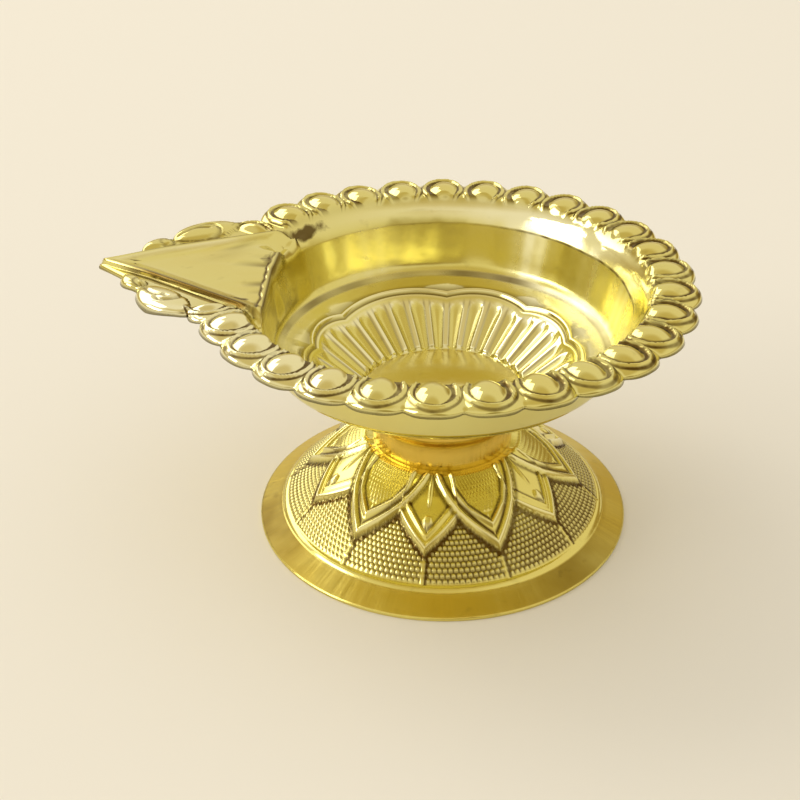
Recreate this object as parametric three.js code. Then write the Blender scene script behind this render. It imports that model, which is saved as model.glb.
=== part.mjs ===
// Standing oil lamp: a stamped brass bowl with a pointed lip, riveted through a
// collar to a lotus foot. Millimetres, +Z up. The foot rests on z = 0, the lip
// points along -X, and the box of the whole lamp is centred on the Z axis.
import * as THREE from 'three';

// Sheet and fits
const sheet = 0.5;
const seatClearance = 0.3;
const shankClearance = 0.3;

// Heights of the stack
const footHeight = 14.6;
const collarHeight = 7.5;

// Foot
const footRadius = 31.25;
const footEdgeHeight = 0.5;
const footLandWidth = 0.95;
const footEdgeRounding = 0.3;
const brimWidth = 4.25;
const brimRise = 2;
const brimLineHeight = 0.3;
const brimLineWidth = 0.5;
const domeBulge = 0.6;
const petalPairs = 6;
const petalTipGap = 3.7;
const petalChevronLength = 4.5;
const petalBandWidth = 1.5;
const petalRelief = 0.45;
const petalEdgeWidth = 0.45;
const tipRidgeHeight = 0.3;

// Collar
const collarRadius = 11.6;
const collarWall = 0.6;
const collarWaistInset = 0.1;
const collarLipWidth = 1;
const collarLipHeight = 1.9;
const collarFlare = 0.8;
const crownShoulder = 0.7;

// Rivet and washer
const shankRadius = 1.9;
const rivetHeadRadius = 4.3;
const rivetHeadHeight = 1;
const clenchRadius = 3.6;
const clenchHeight = 1.2;
const rivetRounding = 0.6;
const washerWidth = 3.8;
const washerThickness = 0.8;

// Floor of the bowl
const discRadius = 13.2;
const discThickness = 0.5;
const discChamfer = 0.12;
const discRecess = 0.2;
const dimpleGap = 0.4;
const dimpleFloorMargin = 0.6;
const dimpleFlankWidth = 1.7;

// Bowl, from the border inwards
const rimRadius = 40;
const skirtDrop = 0.8;
const skirtWidth = 1.6;
const lobeCount = 27;
const lobePitch = 12.15;
const lobeNotch = 1.5;
const bossRadius = 35.6;
const bossHalfLength = 3.1;
const bossHalfWidth = 2.9;
const bossHeight = 1.4;
const borderWidth = 7.5;
const gutterSlopeWidth = 1.5;
const gutterDrop = 1.8;
const shoulderWidth = 1.1;
const shoulderDrop = 1.6;
const wallLean = 0.9;
const wallHeight = 3.8;
const cornerWidth = 4.1;
const cornerHeight = 5;
const plainBandWidth = 2.3;
const plainBandRise = 0.6;
const rosetteRise = 6.9;
const fluteCount = 36;
const fluteHeight = 0.35;
const fluteBottom = 1.1;
const scallopDepth = 0.9;
const scallopEdge = 0.4;
const scallopEdgeWidth = 0.6;
const scallopCusps = [20, 55, 95, 150, 180];

// Lip
const lipReach = 16.5;
const tipBlade = 1.2;
const sillOverhang = 2.9;
const bankHalfWidth = 13.1;
const lipLift = 0.6;
const lipLiftRun = 12;
const troughDepth = 0.4;
const troughBank = 1.6;
const beadHeight = 0.8;
const beadWidth = 0.5;
const lastLobeBulge = 0.6;
const lastBossShift = 1.8;
const largeLeafBulge = 3.2;
const largeLeafHalfWidth = 3.6;
const smallLeafBulge = 1.5;
const smallLeafHalfWidth = 1.7;
const leafHeight = 0.9;
const leafStart = { reach: -3, side: 16.3 };
const leafEnd = { reach: 7, side: 9 };
const bladeStart = { reach: 10.8, side: 4.5 };

// Facets
const patternColumns = 72;
const turnedSegments = 48;
const smallSegments = 24;

// Levels and radii that follow from the sizes above
const washerTop = footHeight - sheet;
const washerBottom = washerTop - washerThickness;
const clenchBottom = washerBottom - clenchHeight;
const collarTop = footHeight + collarHeight;
const seatHeight = collarTop + sheet;
const dimpleHeight = seatHeight - rivetHeadHeight - dimpleGap;
const seatRadius = discRadius + seatClearance;
const shankHole = shankRadius + shankClearance;
const stepHeight = seatHeight + discThickness + discRecess;
const scallopHeight = stepHeight + rosetteRise;
const cornerFoot = scallopHeight + plainBandRise;
const wallFoot = cornerFoot + cornerHeight;
const wallTop = wallFoot + wallHeight;
const gutterHeight = wallTop + shoulderDrop;
const flangeHeight = gutterHeight + gutterDrop;
const flangeRadius = rimRadius - borderWidth;
const gutterRadius = flangeRadius - gutterSlopeWidth;
const wallTopRadius = gutterRadius - shoulderWidth;
const wallFootRadius = wallTopRadius - wallLean;
const cornerRadius = wallFootRadius - cornerWidth;
const scallopRadius = cornerRadius - plainBandWidth;
const tipRadius = rimRadius + lipReach;
const sillRadius = wallTopRadius - sillOverhang;
const sillEdgeTurn = THREE.MathUtils.radToDeg(Math.acos(sillRadius / wallTopRadius));
const troughEnd = tipRadius - tipBlade;
const bankFoot = Math.sqrt(flangeRadius ** 2 - bankHalfWidth ** 2);
const troughLength = troughEnd - bankFoot;
const axisShift = lipReach / 2;
const brimRadius = footRadius - brimWidth;
const brimHeight = footEdgeHeight + brimRise;
const crownRadius = collarRadius + crownShoulder;
const petalTipRadius = brimRadius - petalTipGap;

const polar = (radius, turn, height) => new THREE.Vector3(
  radius * Math.cos(turn), radius * Math.sin(turn), height);
const radians = THREE.MathUtils.degToRad;
const degrees = THREE.MathUtils.radToDeg;
const mix = THREE.MathUtils.lerp;
const smooth = THREE.MathUtils.smoothstep;

// How far a turn lies from the lip's axis, 0 at the lip and 180 opposite it
function turnFromLip(turn) {
  return Math.abs(degrees(Math.atan2(Math.sin(turn), -Math.cos(turn))));
}

// A dome that is 1 at its centre and 0 outside its half lengths
function dome(along, across) {
  return Math.max(0, 1 - along * along - across * across);
}

// Radius at which a ray from the axis meets an arc that bulges outwards
function arcRadius(start, end, bulge, turn) {
  const chord = end.clone().sub(start);
  const half = chord.length() / 2;
  const arc = (half * half + bulge * bulge) / (2 * bulge);
  const inward = new THREE.Vector2(chord.y, -chord.x).normalize();
  const middle = start.clone().add(end).multiplyScalar(0.5);
  if (inward.dot(middle) > 0) inward.negate();
  const centre = middle.addScaledVector(inward, arc - bulge);
  const ray = new THREE.Vector2(-Math.cos(turn), Math.sin(turn));
  const along = ray.dot(centre);
  return along + Math.sqrt(Math.max(0, along * along - centre.lengthSq() + arc * arc));
}

// The half of the lip's outline that lies at positive Y, in plan
const lobeEnd = radians(lobePitch * (lobeCount - 2) / 2);
const beyondRim = ({ reach, side }) => new THREE.Vector2(-rimRadius - reach, side);
const corners = [
  new THREE.Vector2(Math.cos(lobeEnd), Math.sin(lobeEnd)).multiplyScalar(rimRadius - lobeNotch),
  beyondRim(leafStart),
  beyondRim(leafEnd),
  beyondRim(bladeStart),
];
const bulges = [lastLobeBulge, largeLeafBulge, smallLeafBulge];
const tip = new THREE.Vector2(-tipRadius, 0);
const cornerTurns = corners.map((corner) => turnFromLip(corner.angle()));

// Radius of the bowl's outer edge: lobes all round, then two leaves and the blade
function outlineRadius(turn) {
  const fromLip = turnFromLip(turn);
  const ray = radians(fromLip);
  if (fromLip >= cornerTurns[0]) {
    const lobe = (180 - fromLip) / lobePitch;
    const offset = 2 * (lobe - Math.round(lobe));
    return rimRadius - lobeNotch * offset * offset;
  }
  const stretch = cornerTurns.findIndex((corner) => fromLip >= corner) - 1;
  if (stretch >= 0) return arcRadius(corners[stretch], corners[stretch + 1], bulges[stretch], ray);
  const blade = corners.at(-1);
  const edge = tip.clone().sub(blade);
  const side = new THREE.Vector2(-Math.cos(ray), Math.sin(ray));
  return blade.cross(edge) / side.cross(edge);
}

// Distance from the bank of the trough, above zero inside it
const bankLength = Math.hypot(troughLength, bankHalfWidth);
function troughInset(x, y) {
  if (x > 0) return -troughLength;
  return (bankHalfWidth * (x + troughEnd) - troughLength * Math.abs(y)) / bankLength;
}

// The bank runs from the tip to the flange's inner edge, and on along that edge
function bankRadius(turn) {
  const fromLip = turnFromLip(turn);
  if (fromLip > 90) return flangeRadius;
  const ray = radians(fromLip);
  const width = troughLength * Math.sin(ray) + bankHalfWidth * Math.cos(ray);
  return Math.max(flangeRadius, bankHalfWidth * troughEnd / width);
}

// The bowl's mouth is a circle that the lip's sill cuts straight across
function mouthRadius(radius, turn) {
  const fromLip = turnFromLip(turn);
  return fromLip > 60 ? radius : Math.min(radius, sillRadius / Math.cos(radians(fromLip)));
}

// 0 along the lip's sill and 1 round the rest of the mouth
function gutterShare(turn) {
  const bend = lobePitch / 4;
  return smooth(turnFromLip(turn), sillEdgeTurn - bend, sillEdgeTurn + bend);
}

function leafDome(x, y, corner, halfWidth) {
  const start = corners[corner];
  const along = corners[corner + 1].clone().sub(start);
  const half = along.length() / 2;
  const middle = start.clone().addScaledVector(along, 0.5);
  const from = new THREE.Vector2(x, Math.abs(y)).sub(middle);
  along.normalize();
  return dome(from.dot(along) / half, from.cross(along) / halfWidth);
}

function bossDome(radius, turn) {
  const fromFar = 180 - turnFromLip(turn);
  const lastLobe = (lobeCount - 1) / 2;
  const lobe = Math.min(lastLobe, Math.round(fromFar / lobePitch));
  const centre = lobe === lastLobe ? bossRadius + lastBossShift : bossRadius;
  const aside = radians(fromFar - lobe * lobePitch) * radius;
  return dome((radius - centre) / bossHalfLength, aside / bossHalfWidth);
}

// Height of the border and the lip over a place in plan
function borderHeight(radius, turn) {
  const x = radius * Math.cos(turn);
  const y = radius * Math.sin(turn);
  const inset = troughInset(x, y);
  const gutter = gutterShare(turn) * (1 - smooth(radius, gutterRadius, flangeRadius));
  const trough = smooth(inset, -beadWidth, beadWidth);
  const lift = smooth(tipRadius + x, 0, lipLiftRun) * smooth(-x, bankFoot - bankHalfWidth, bankFoot);
  const leaves = leafDome(x, y, 1, largeLeafHalfWidth) + leafDome(x, y, 2, smallLeafHalfWidth);
  const relief = bossHeight * bossDome(radius, turn) + leafHeight * Math.min(1, leaves);
  const bead = Math.exp(-((inset / beadWidth) ** 2)) * smooth(radius, gutterRadius, flangeRadius);
  let height = flangeHeight + lipLift * lift + relief * (1 - trough) + beadHeight * bead;
  height -= gutterDrop * gutter;
  height -= troughDepth * smooth(inset, 0, troughBank);
  height -= skirtDrop * (1 - smooth(outlineRadius(turn) - radius, 0, skirtWidth));
  return height;
}

// A stamped sheet: rings of front points and, one sheet further in, of back points
class StampedSheet {
  constructor() {
    this.points = [];
    this.faces = [];
  }

  addRing(turns, place, inward) {
    const first = this.points.length;
    const front = turns.map((turn) => place(turn));
    const back = front.map(({ radius, height }, column) => {
      const [out, up] = inward(turns[column]);
      return { radius: radius + sheet * out, height: height + sheet * up };
    });
    for (const side of [front, back]) {
      side.forEach(({ radius, height }, column) => {
        this.points.push(polar(radius, turns[column], height));
      });
    }
    return { turns, front: first, back: first + turns.length };
  }

  // Joins two rings, whatever the count of their columns, with both halves of the lamp alike
  joinRows(inner, outer, innerStart, outerStart, flip) {
    const full = inner.turns.length + outer.turns.length;
    let a = 0;
    let b = 0;
    while (a + b < full) {
      const nextInner = inner.turns[a % inner.turns.length + 1] ?? inner.turns[0] + 2 * Math.PI;
      const nextOuter = outer.turns[b % outer.turns.length + 1] ?? outer.turns[0] + 2 * Math.PI;
      const innerFirst = nextInner === nextOuter ? nextInner <= Math.PI : nextInner < nextOuter;
      const stepInner = b >= outer.turns.length || (a < inner.turns.length && innerFirst);
      const here = innerStart + a % inner.turns.length;
      const there = outerStart + b % outer.turns.length;
      const next = stepInner
        ? innerStart + (a + 1) % inner.turns.length
        : outerStart + (b + 1) % outer.turns.length;
      this.faces.push(flip ? [here, next, there] : [here, there, next]);
      if (stepInner) a += 1;
      else b += 1;
    }
  }

  join(inner, outer) {
    this.joinRows(inner, outer, inner.front, outer.front, false);
    this.joinRows(inner, outer, inner.back, outer.back, true);
  }

  closeEdges(inner, outer) {
    this.joinRows(inner, inner, inner.back, inner.front, false);
    this.joinRows(outer, outer, outer.front, outer.back, false);
  }

  geometry() {
    const geometry = new THREE.BufferGeometry();
    const positions = this.points.flatMap(({ x, y, z }) => [x + axisShift, y, z]);
    geometry.setAttribute('position', new THREE.Float32BufferAttribute(positions, 3));
    geometry.setIndex(this.faces.flat());
    geometry.computeVertexNormals();
    return geometry;
  }
}

function brass(name, geometry, color, roughness) {
  const material = new THREE.MeshStandardMaterial({ color, roughness, metalness: 1 });
  const mesh = new THREE.Mesh(geometry, material);
  mesh.name = name;
  return mesh;
}

// A turned piece on the lamp's axis, from a profile of [radius, height] points
function turned(profile, segments) {
  const points = profile.map(([radius, height]) => new THREE.Vector2(radius, height));
  const geometry = new THREE.LatheGeometry(points, segments);
  geometry.rotateX(Math.PI / 2);
  geometry.translate(axisShift, 0, 0);
  return geometry;
}

const turnTolerance = 1e-6;
const patternTurns = Array.from(
  { length: patternColumns }, (_, column) => column * 2 * Math.PI / patternColumns);
const straightDown = () => [0, -1];

// Depth below the petals' outline at a turn, from 0 at a cusp to 1 at mid petal
function scallopShare(turn) {
  const angle = 180 - turnFromLip(turn);
  const cusps = [-scallopCusps[0], ...scallopCusps];
  const next = cusps.findIndex((cusp) => cusp > angle - turnTolerance);
  if (next < 1) return 0;
  const share = (angle - cusps[next - 1]) / (cusps[next] - cusps[next - 1]);
  return 1 - (2 * share - 1) ** 2;
}

function rosetteSlope(radius) {
  const share = (radius - seatRadius) / (scallopRadius - seatRadius);
  return mix(stepHeight, scallopHeight, share);
}

function fluteOffset(turn) {
  return -fluteHeight * Math.cos(fluteCount * turn);
}

// The wall bends in under the lip's sill
function wallPlace(radius, height) {
  return (turn) => {
    const share = smooth(height, cornerFoot, wallFoot);
    return { radius: mix(radius, mouthRadius(radius, turn), share), height };
  };
}

function addBowlFloor(body) {
  const flat = (radius, height) => () => ({ radius, height });
  const headRoom = rivetHeadRadius + dimpleFloorMargin;
  const slope = Math.atan2(rosetteRise, scallopRadius - seatRadius);
  const underSlope = () => [Math.sin(slope), -Math.cos(slope)];
  const seatCorner = () => [Math.sin(slope), -1];
  const rows = [
    body.addRing(patternTurns, flat(shankHole, dimpleHeight), straightDown),
    body.addRing(patternTurns, flat(headRoom, dimpleHeight), straightDown),
    body.addRing(patternTurns, flat(headRoom + dimpleFlankWidth, seatHeight), straightDown),
    body.addRing(patternTurns, flat(seatRadius, seatHeight), seatCorner),
  ];
  const fluteEnds = [0, 1 / 3, 2 / 3, 1];
  for (const share of fluteEnds) {
    rows.push(body.addRing(patternTurns, (turn) => {
      const outer = scallopRadius - scallopDepth * (1 - scallopShare(turn)) - fluteBottom;
      const radius = mix(seatRadius, outer, share);
      return { radius, height: rosetteSlope(radius) + fluteOffset(turn) };
    }, underSlope));
  }
  const scallopRing = (out, up) => body.addRing(patternTurns, (turn) => {
    const radius = scallopRadius - scallopDepth * (1 - scallopShare(turn)) + out;
    return { radius, height: rosetteSlope(radius) + up };
  }, underSlope);
  rows.push(scallopRing(0, scallopEdge));
  rows.push(scallopRing(scallopEdgeWidth, 0));
  return rows;
}

function addBowlWall(body) {
  const rows = [];
  const cornerSteps = 3;
  for (let step = 0; step <= cornerSteps; step += 1) {
    const bend = step / cornerSteps * Math.PI / 2;
    const radius = cornerRadius + cornerWidth * Math.sin(bend);
    const height = wallFoot - cornerHeight * Math.cos(bend);
    const outward = () => [Math.sin(bend), -Math.cos(bend)];
    rows.push(body.addRing(patternTurns, wallPlace(radius, height), outward));
  }
  const lean = Math.atan2(wallLean, wallHeight);
  rows.push(body.addRing(
    patternTurns, wallPlace(wallTopRadius, wallTop), () => [Math.cos(lean), -Math.sin(lean)]));
  return rows;
}

// Columns of the border: four to a lobe, and even steps between the lip's corners
function borderTurns() {
  const half = [];
  const lobeSteps = 4;
  for (let step = 1; step <= lobeSteps * (lobeCount - 2) / 2; step += 1) {
    half.push(step * lobePitch / lobeSteps);
  }
  const stops = [...cornerTurns, 0];
  const lipSteps = [3, 7, 4, 4];
  lipSteps.forEach((steps, stretch) => {
    for (let step = 1; step <= steps; step += 1) {
      half.push(180 - mix(stops[stretch], stops[stretch + 1], step / steps));
    }
  });
  const middle = half.slice(0, -1);
  const all = [0, ...half, ...middle.map((angle) => 360 - angle).reverse()];
  return all.map(radians);
}

// Radii of the border's rings: gutter or trough, then the bank, then bosses or leaves
const troughShares = [0, 0.12, 0.5];
const bossShares = [0, 0.17, 0.4, 0.62, 0.79, 0.9, 1];
function borderRadii(turn) {
  const outline = outlineRadius(turn);
  const bank = bankRadius(turn);
  const mouth = mouthRadius(gutterRadius, turn);
  const bankInside = bank - Math.min(2 * beadWidth, (bank - mouth) / 4);
  return [
    ...troughShares.map((share) => mix(mouth, bank, share)),
    bankInside,
    ...bossShares.map((share) => mix(bank, outline, share)),
  ];
}

// Direction from front to back of the sheet at one of the border's rings
function borderInward(ring, turn) {
  const slope = Math.atan2(gutterDrop, gutterSlopeWidth);
  const share = gutterShare(turn);
  const sillCorner = ring === 0 ? 1 - share : 0;
  if (ring <= troughShares.length) {
    return [sillCorner + share * Math.sin(slope), mix(-1, -Math.cos(slope), share)];
  }
  return ring === troughShares.length + 1 ? [share * Math.tan(slope / 2), -1] : [0, -1];
}

function addBorder(body) {
  const turns = borderTurns();
  const rings = borderRadii(0).length;
  return Array.from({ length: rings }, (_, ring) => body.addRing(
    turns,
    (turn) => {
      const radius = borderRadii(turn)[ring];
      return { radius, height: borderHeight(radius, turn) };
    },
    (turn) => borderInward(ring, turn)));
}

function makeBowl() {
  const body = new StampedSheet();
  const rows = [...addBowlFloor(body), ...addBowlWall(body), ...addBorder(body)];
  rows.slice(1).forEach((row, index) => body.join(rows[index], row));
  body.closeEdges(rows[0], rows.at(-1));
  return brass('bowl', body.geometry(), 0xd8b94a, 0.18);
}

function domeHeight(radius) {
  const share = (radius - crownRadius) / (brimRadius - crownRadius);
  return mix(footHeight, brimHeight, share) + 4 * domeBulge * share * (1 - share);
}

// Radius of the petals' pointed outline: one large and one small petal to a pair
function chevronRadius(turn) {
  const petal = turn * petalPairs / Math.PI;
  const offset = 2 * Math.abs(petal - Math.round(petal));
  return petalTipRadius - petalChevronLength * offset;
}

function addFootDome(body) {
  const slope = Math.atan2(footHeight - brimHeight, brimRadius - crownRadius);
  const inward = () => [-Math.sin(slope), -Math.cos(slope)];
  const crownCorner = () => [-Math.tan(slope / 2), -1];
  const ground = (radius) => ({ radius, height: domeHeight(radius) });
  const atChevron = (out, up) => body.addRing(patternTurns, (turn) => {
    const place = ground(chevronRadius(turn) + out);
    return { radius: place.radius, height: place.height + up(turn) };
  }, inward);
  const level = (value) => () => value;
  const tipRidge = (turn) => {
    const petal = turn * petalPairs / Math.PI;
    return Math.abs(petal - Math.round(petal)) < turnTolerance ? tipRidgeHeight : 0;
  };
  const crown = { radius: crownRadius, height: footHeight };
  const bandFoot = petalBandWidth + petalEdgeWidth;
  const innerField = mix(crownRadius, petalTipRadius - petalChevronLength - bandFoot, 0.5);
  return [
    body.addRing(patternTurns, () => ({ radius: shankHole, height: footHeight }), straightDown),
    body.addRing(patternTurns, () => crown, crownCorner),
    body.addRing(patternTurns, () => ground(innerField), inward),
    atChevron(-bandFoot, level(0)),
    atChevron(-petalBandWidth, level(petalRelief)),
    atChevron(0, level(petalRelief)),
    atChevron(petalEdgeWidth, tipRidge),
    body.addRing(patternTurns, (turn) => {
      const place = ground(brimRadius - brimLineWidth);
      return { radius: place.radius, height: place.height + tipRidge(turn) };
    }, inward),
  ];
}

function addFootBrim(body) {
  const slope = Math.atan2(brimRise, brimWidth);
  const inward = () => [-Math.sin(slope), -Math.cos(slope)];
  const line = { radius: brimRadius, height: brimHeight + brimLineHeight };
  const brimStart = {
    radius: brimRadius + brimLineWidth,
    height: brimHeight - brimLineWidth * brimRise / brimWidth,
  };
  const land = () => [-footLandWidth / sheet, 0];
  const landInside = () => [-(footLandWidth + footEdgeRounding / 2) / sheet, -footEdgeRounding / sheet];
  return [
    body.addRing(patternTurns, () => line, inward),
    body.addRing(patternTurns, () => brimStart, inward),
    body.addRing(patternTurns, () => ({ radius: footRadius, height: footEdgeHeight }), landInside),
    body.addRing(patternTurns, () => ({ radius: footRadius, height: 0 }), land),
  ];
}

function makeFoot() {
  const body = new StampedSheet();
  const rows = [...addFootDome(body), ...addFootBrim(body)];
  rows.slice(1).forEach((row, index) => body.join(rows[index], row));
  body.closeEdges(rows[0], rows.at(-1));
  return brass('foot', body.geometry(), 0xc9a436, 0.24);
}

function makeCollar() {
  const inside = collarRadius - collarWall;
  const waist = collarRadius - collarWaistInset;
  const lip = collarRadius + collarLipWidth;
  const profile = [
    [inside, footHeight],
    [collarRadius, footHeight],
    [waist, collarTop - collarLipHeight - collarLipWidth],
    [waist + collarFlare * (lip - waist), collarTop - collarLipHeight],
    [lip, collarTop - collarLipHeight / 2],
    [lip, collarTop],
    [inside, collarTop],
    [inside, footHeight],
  ];
  return brass('neck_collar', turned(profile, turnedSegments), 0xc98a2c, 0.3);
}

function makeFloorDisc() {
  const top = seatHeight + discThickness;
  const profile = [
    [0, seatHeight],
    [discRadius - discChamfer, seatHeight],
    [discRadius, seatHeight + discChamfer],
    [discRadius, top - discChamfer],
    [discRadius - discChamfer, top],
    [0, top],
  ];
  return brass('floor_disc', turned(profile, patternColumns), 0xe0c65c, 0.12);
}

function makeRivet() {
  const headTop = dimpleHeight + rivetHeadHeight;
  const profile = [
    [0, clenchBottom],
    [clenchRadius - rivetRounding, clenchBottom],
    [clenchRadius, clenchBottom + rivetRounding],
    [clenchRadius, washerBottom],
    [shankRadius, washerBottom],
    [shankRadius, dimpleHeight],
    [rivetHeadRadius, dimpleHeight],
    [rivetHeadRadius, headTop - rivetRounding],
    [rivetHeadRadius - rivetRounding, headTop],
    [0, headTop],
  ];
  return brass('centre_rivet', turned(profile, smallSegments), 0xb98f3a, 0.4);
}

function makeWasher() {
  const outside = shankHole + washerWidth;
  const profile = [
    [shankHole, washerBottom],
    [outside, washerBottom],
    [outside, washerTop],
    [shankHole, washerTop],
    [shankHole, washerBottom],
  ];
  return brass('clench_washer', turned(profile, smallSegments), 0xb98f3a, 0.4);
}

const lamp = new THREE.Group();
lamp.add(makeBowl(), makeFloorDisc(), makeCollar(), makeRivet(), makeWasher(), makeFoot());

export default lamp;
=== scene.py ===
"""Looks of the standing oil lamp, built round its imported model.

Sizes are in millimetres on the lamp's own axis, and the finished meshes are in
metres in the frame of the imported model: +Z up, the lip along -X, the foot on z = 0.
"""

import logging
import math
from collections.abc import Callable, Iterable, Sequence
from dataclasses import dataclass, field, replace
from enum import Enum

import bmesh
import bpy
import numpy as np
from mathutils import Matrix, Vector

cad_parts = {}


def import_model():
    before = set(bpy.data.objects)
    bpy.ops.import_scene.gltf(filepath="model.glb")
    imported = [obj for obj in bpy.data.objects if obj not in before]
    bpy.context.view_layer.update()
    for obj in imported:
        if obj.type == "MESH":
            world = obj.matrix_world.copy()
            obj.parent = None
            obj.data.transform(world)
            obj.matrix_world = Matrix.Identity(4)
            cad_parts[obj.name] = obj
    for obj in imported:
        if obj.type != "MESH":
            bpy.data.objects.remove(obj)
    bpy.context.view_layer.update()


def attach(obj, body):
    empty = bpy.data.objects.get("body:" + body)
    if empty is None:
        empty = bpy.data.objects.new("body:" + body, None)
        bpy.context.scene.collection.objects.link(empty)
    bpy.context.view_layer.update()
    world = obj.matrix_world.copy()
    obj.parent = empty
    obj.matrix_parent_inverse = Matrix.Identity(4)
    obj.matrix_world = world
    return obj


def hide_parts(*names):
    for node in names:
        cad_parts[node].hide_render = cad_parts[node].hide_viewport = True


LOG = logging.getLogger("lamp")
METRES = 0.001
# Marks carried by the points: painted shade, satin finish, tarnish, the bosses' share, and wear
# mixed with painted highlight.
MARKS = ("painted_shade", "satin", "stain_and_shade", "border", "rub_and_glint")

Array = np.ndarray
Mask = Callable[[Array], Array]
Pair = Callable[[Array], tuple[Array, Array]]
Range = tuple[float, float]
Point = tuple[float, float]
Place = tuple[float, float, float]
Color = tuple[float, float, float]
Wave = tuple[float, float, float]


def smooth(value: Array, low: float, high: float) -> Array:
    """Share from 0 at low to 1 at high, without a kink at either end."""
    share = np.clip((value - low) / (high - low), 0, 1)
    return share * share * (3 - 2 * share)


def ridge(distance: Array, half_width: float) -> Array:
    """Rounded ridge, 1 at its crest and 0 beyond its half width."""
    near = np.clip(np.abs(distance) / half_width, 0, 1)
    return 0.5 + 0.5 * np.cos(math.pi * near)


def dome(along: Array, across: Array) -> Array:
    """Rounded dome, 1 at its centre and 0 beyond its half lengths."""
    return np.sqrt(np.clip(1 - along * along - across * across, 0, 1))


def fade(distance: Array, width: float, power: int = 2) -> Array:
    """Share that fades out on both sides of a middle."""
    return np.exp(-((distance / width) ** power))


def mix(start: Array, end: Array, share: Array) -> Array:
    """Value between two ends."""
    return start + (end - start) * share


def from_lip(turn: Array) -> Array:
    """Degrees between a turn and the lip's axis, 0 at the lip and 180 opposite it."""
    return np.degrees(np.abs(np.arctan2(np.sin(turn), -np.cos(turn))))


def waves(turn: Array, parts: Iterable[Wave]) -> Array:
    """Sum of waves round the axis, each given by its height, its count and its start."""
    return sum(height * np.sin(count * turn + start) for height, count, start in parts)


def steady(first: float, second: float) -> Pair:
    """The same two values at every turn: a ring's radius and height, or a way out and up."""
    return lambda turn: (first + 0 * turn, second + 0 * turn)


def leaning(slope: float) -> Pair:
    """Way from front to back where the sheet climbs outwards at a slope in radians."""
    return steady(math.sin(slope), -math.cos(slope))


STRAIGHT_DOWN = steady(0, -1)


@dataclass(frozen=True)
class Line:
    """A rounded line beside an outline, raised, dark or rubbed."""

    offset: float
    half_width: float
    strength: float = 1.0

    def at(self, distance: Array) -> Array:
        """Strength of the line at distances outside the outline."""
        return self.strength * ridge(distance - self.offset, self.half_width)


@dataclass(frozen=True)
class Stretch:
    """A mark that fades over a stretch round the axis, in degrees from +X."""

    middle: float
    width: float
    strength: float = 1.0
    power: int = 2

    def at(self, turn: Array) -> Array:
        """Strength of the mark at each turn."""
        away = np.mod(np.degrees(turn) - self.middle + 180, 360) - 180
        return self.strength * fade(away, self.width, self.power)


@dataclass(frozen=True)
class Patch:
    """A mark that fades round a place in plan, along its own direction and across it."""

    place: Point
    length: float
    width: float
    strength: float = 1.0
    direction: Point = (1.0, 0.0)

    def at(self, x: Array, y: Array) -> Array:
        """Strength of the mark over points in plan."""
        from_x, from_y = x - self.place[0], y - self.place[1]
        along = from_x * self.direction[0] + from_y * self.direction[1]
        across = from_x * self.direction[1] - from_y * self.direction[0]
        return self.strength * fade(along, self.length) * fade(across, self.width)


class Body(Enum):
    """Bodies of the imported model."""

    LAMP = "root"


class Node(Enum):
    """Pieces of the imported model."""

    BOWL = "bowl"
    DISC = "floor_disc"
    COLLAR = "neck_collar"
    RIVET = "centre_rivet"
    WASHER = "clench_washer"
    FOOT = "foot"


class Slot(Enum):
    """Material slots of the record."""

    BOWL = "bowl_brass"
    DISC = "disc_brass"
    COLLAR = "collar_brass"
    RIVET = "rivet_brass"
    FOOT = "foot_brass"


@dataclass(frozen=True)
class Levels:
    """Heights and radii that several pieces share, in millimetres."""

    axis_shift: float = 8.25
    sheet: float = 0.5
    clench_bottom: float = 12.1
    washer_bottom: float = 13.3
    washer_top: float = 14.1
    foot_top: float = 14.6
    collar_top: float = 22.1
    dimple: float = 21.2
    seat: float = 22.6
    shank_hole: float = 2.2
    head_room: float = 4.9
    dimple_run: float = 1.7
    seat_radius: float = 13.5


LEVELS = Levels()


@dataclass
class SheetRing:
    """One ring of a stamped sheet: its front, and how far its back lies from it."""

    place: Pair
    inward: Pair
    backed: bool = True
    # Masks for the marks: painted shade, satin finish, tarnish, the bosses' share, and wear mixed
    # with painted highlight.
    painted_shade: Mask | None = None
    satin: Mask | None = None
    stain_and_shade: Mask | None = None
    border: Mask | None = None
    rub_and_glint: Mask | None = None


def add_object(name: str, data: bpy.types.ID) -> bpy.types.Object:
    """Adds an object to the scene, at the origin."""
    added = bpy.data.objects.new(name, data)
    bpy.context.scene.collection.objects.link(added)
    return added


def finish_mesh(mesh: bpy.types.Mesh) -> bpy.types.Object:
    """Turns the faces outwards, shades them smooth and adds the object."""
    bm = bmesh.new()
    bm.from_mesh(mesh)
    bmesh.ops.recalc_face_normals(bm, faces=bm.faces)
    for face in bm.faces:
        face.smooth = True
    bm.to_mesh(mesh)
    bm.free()
    return add_object(mesh.name, mesh)


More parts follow.
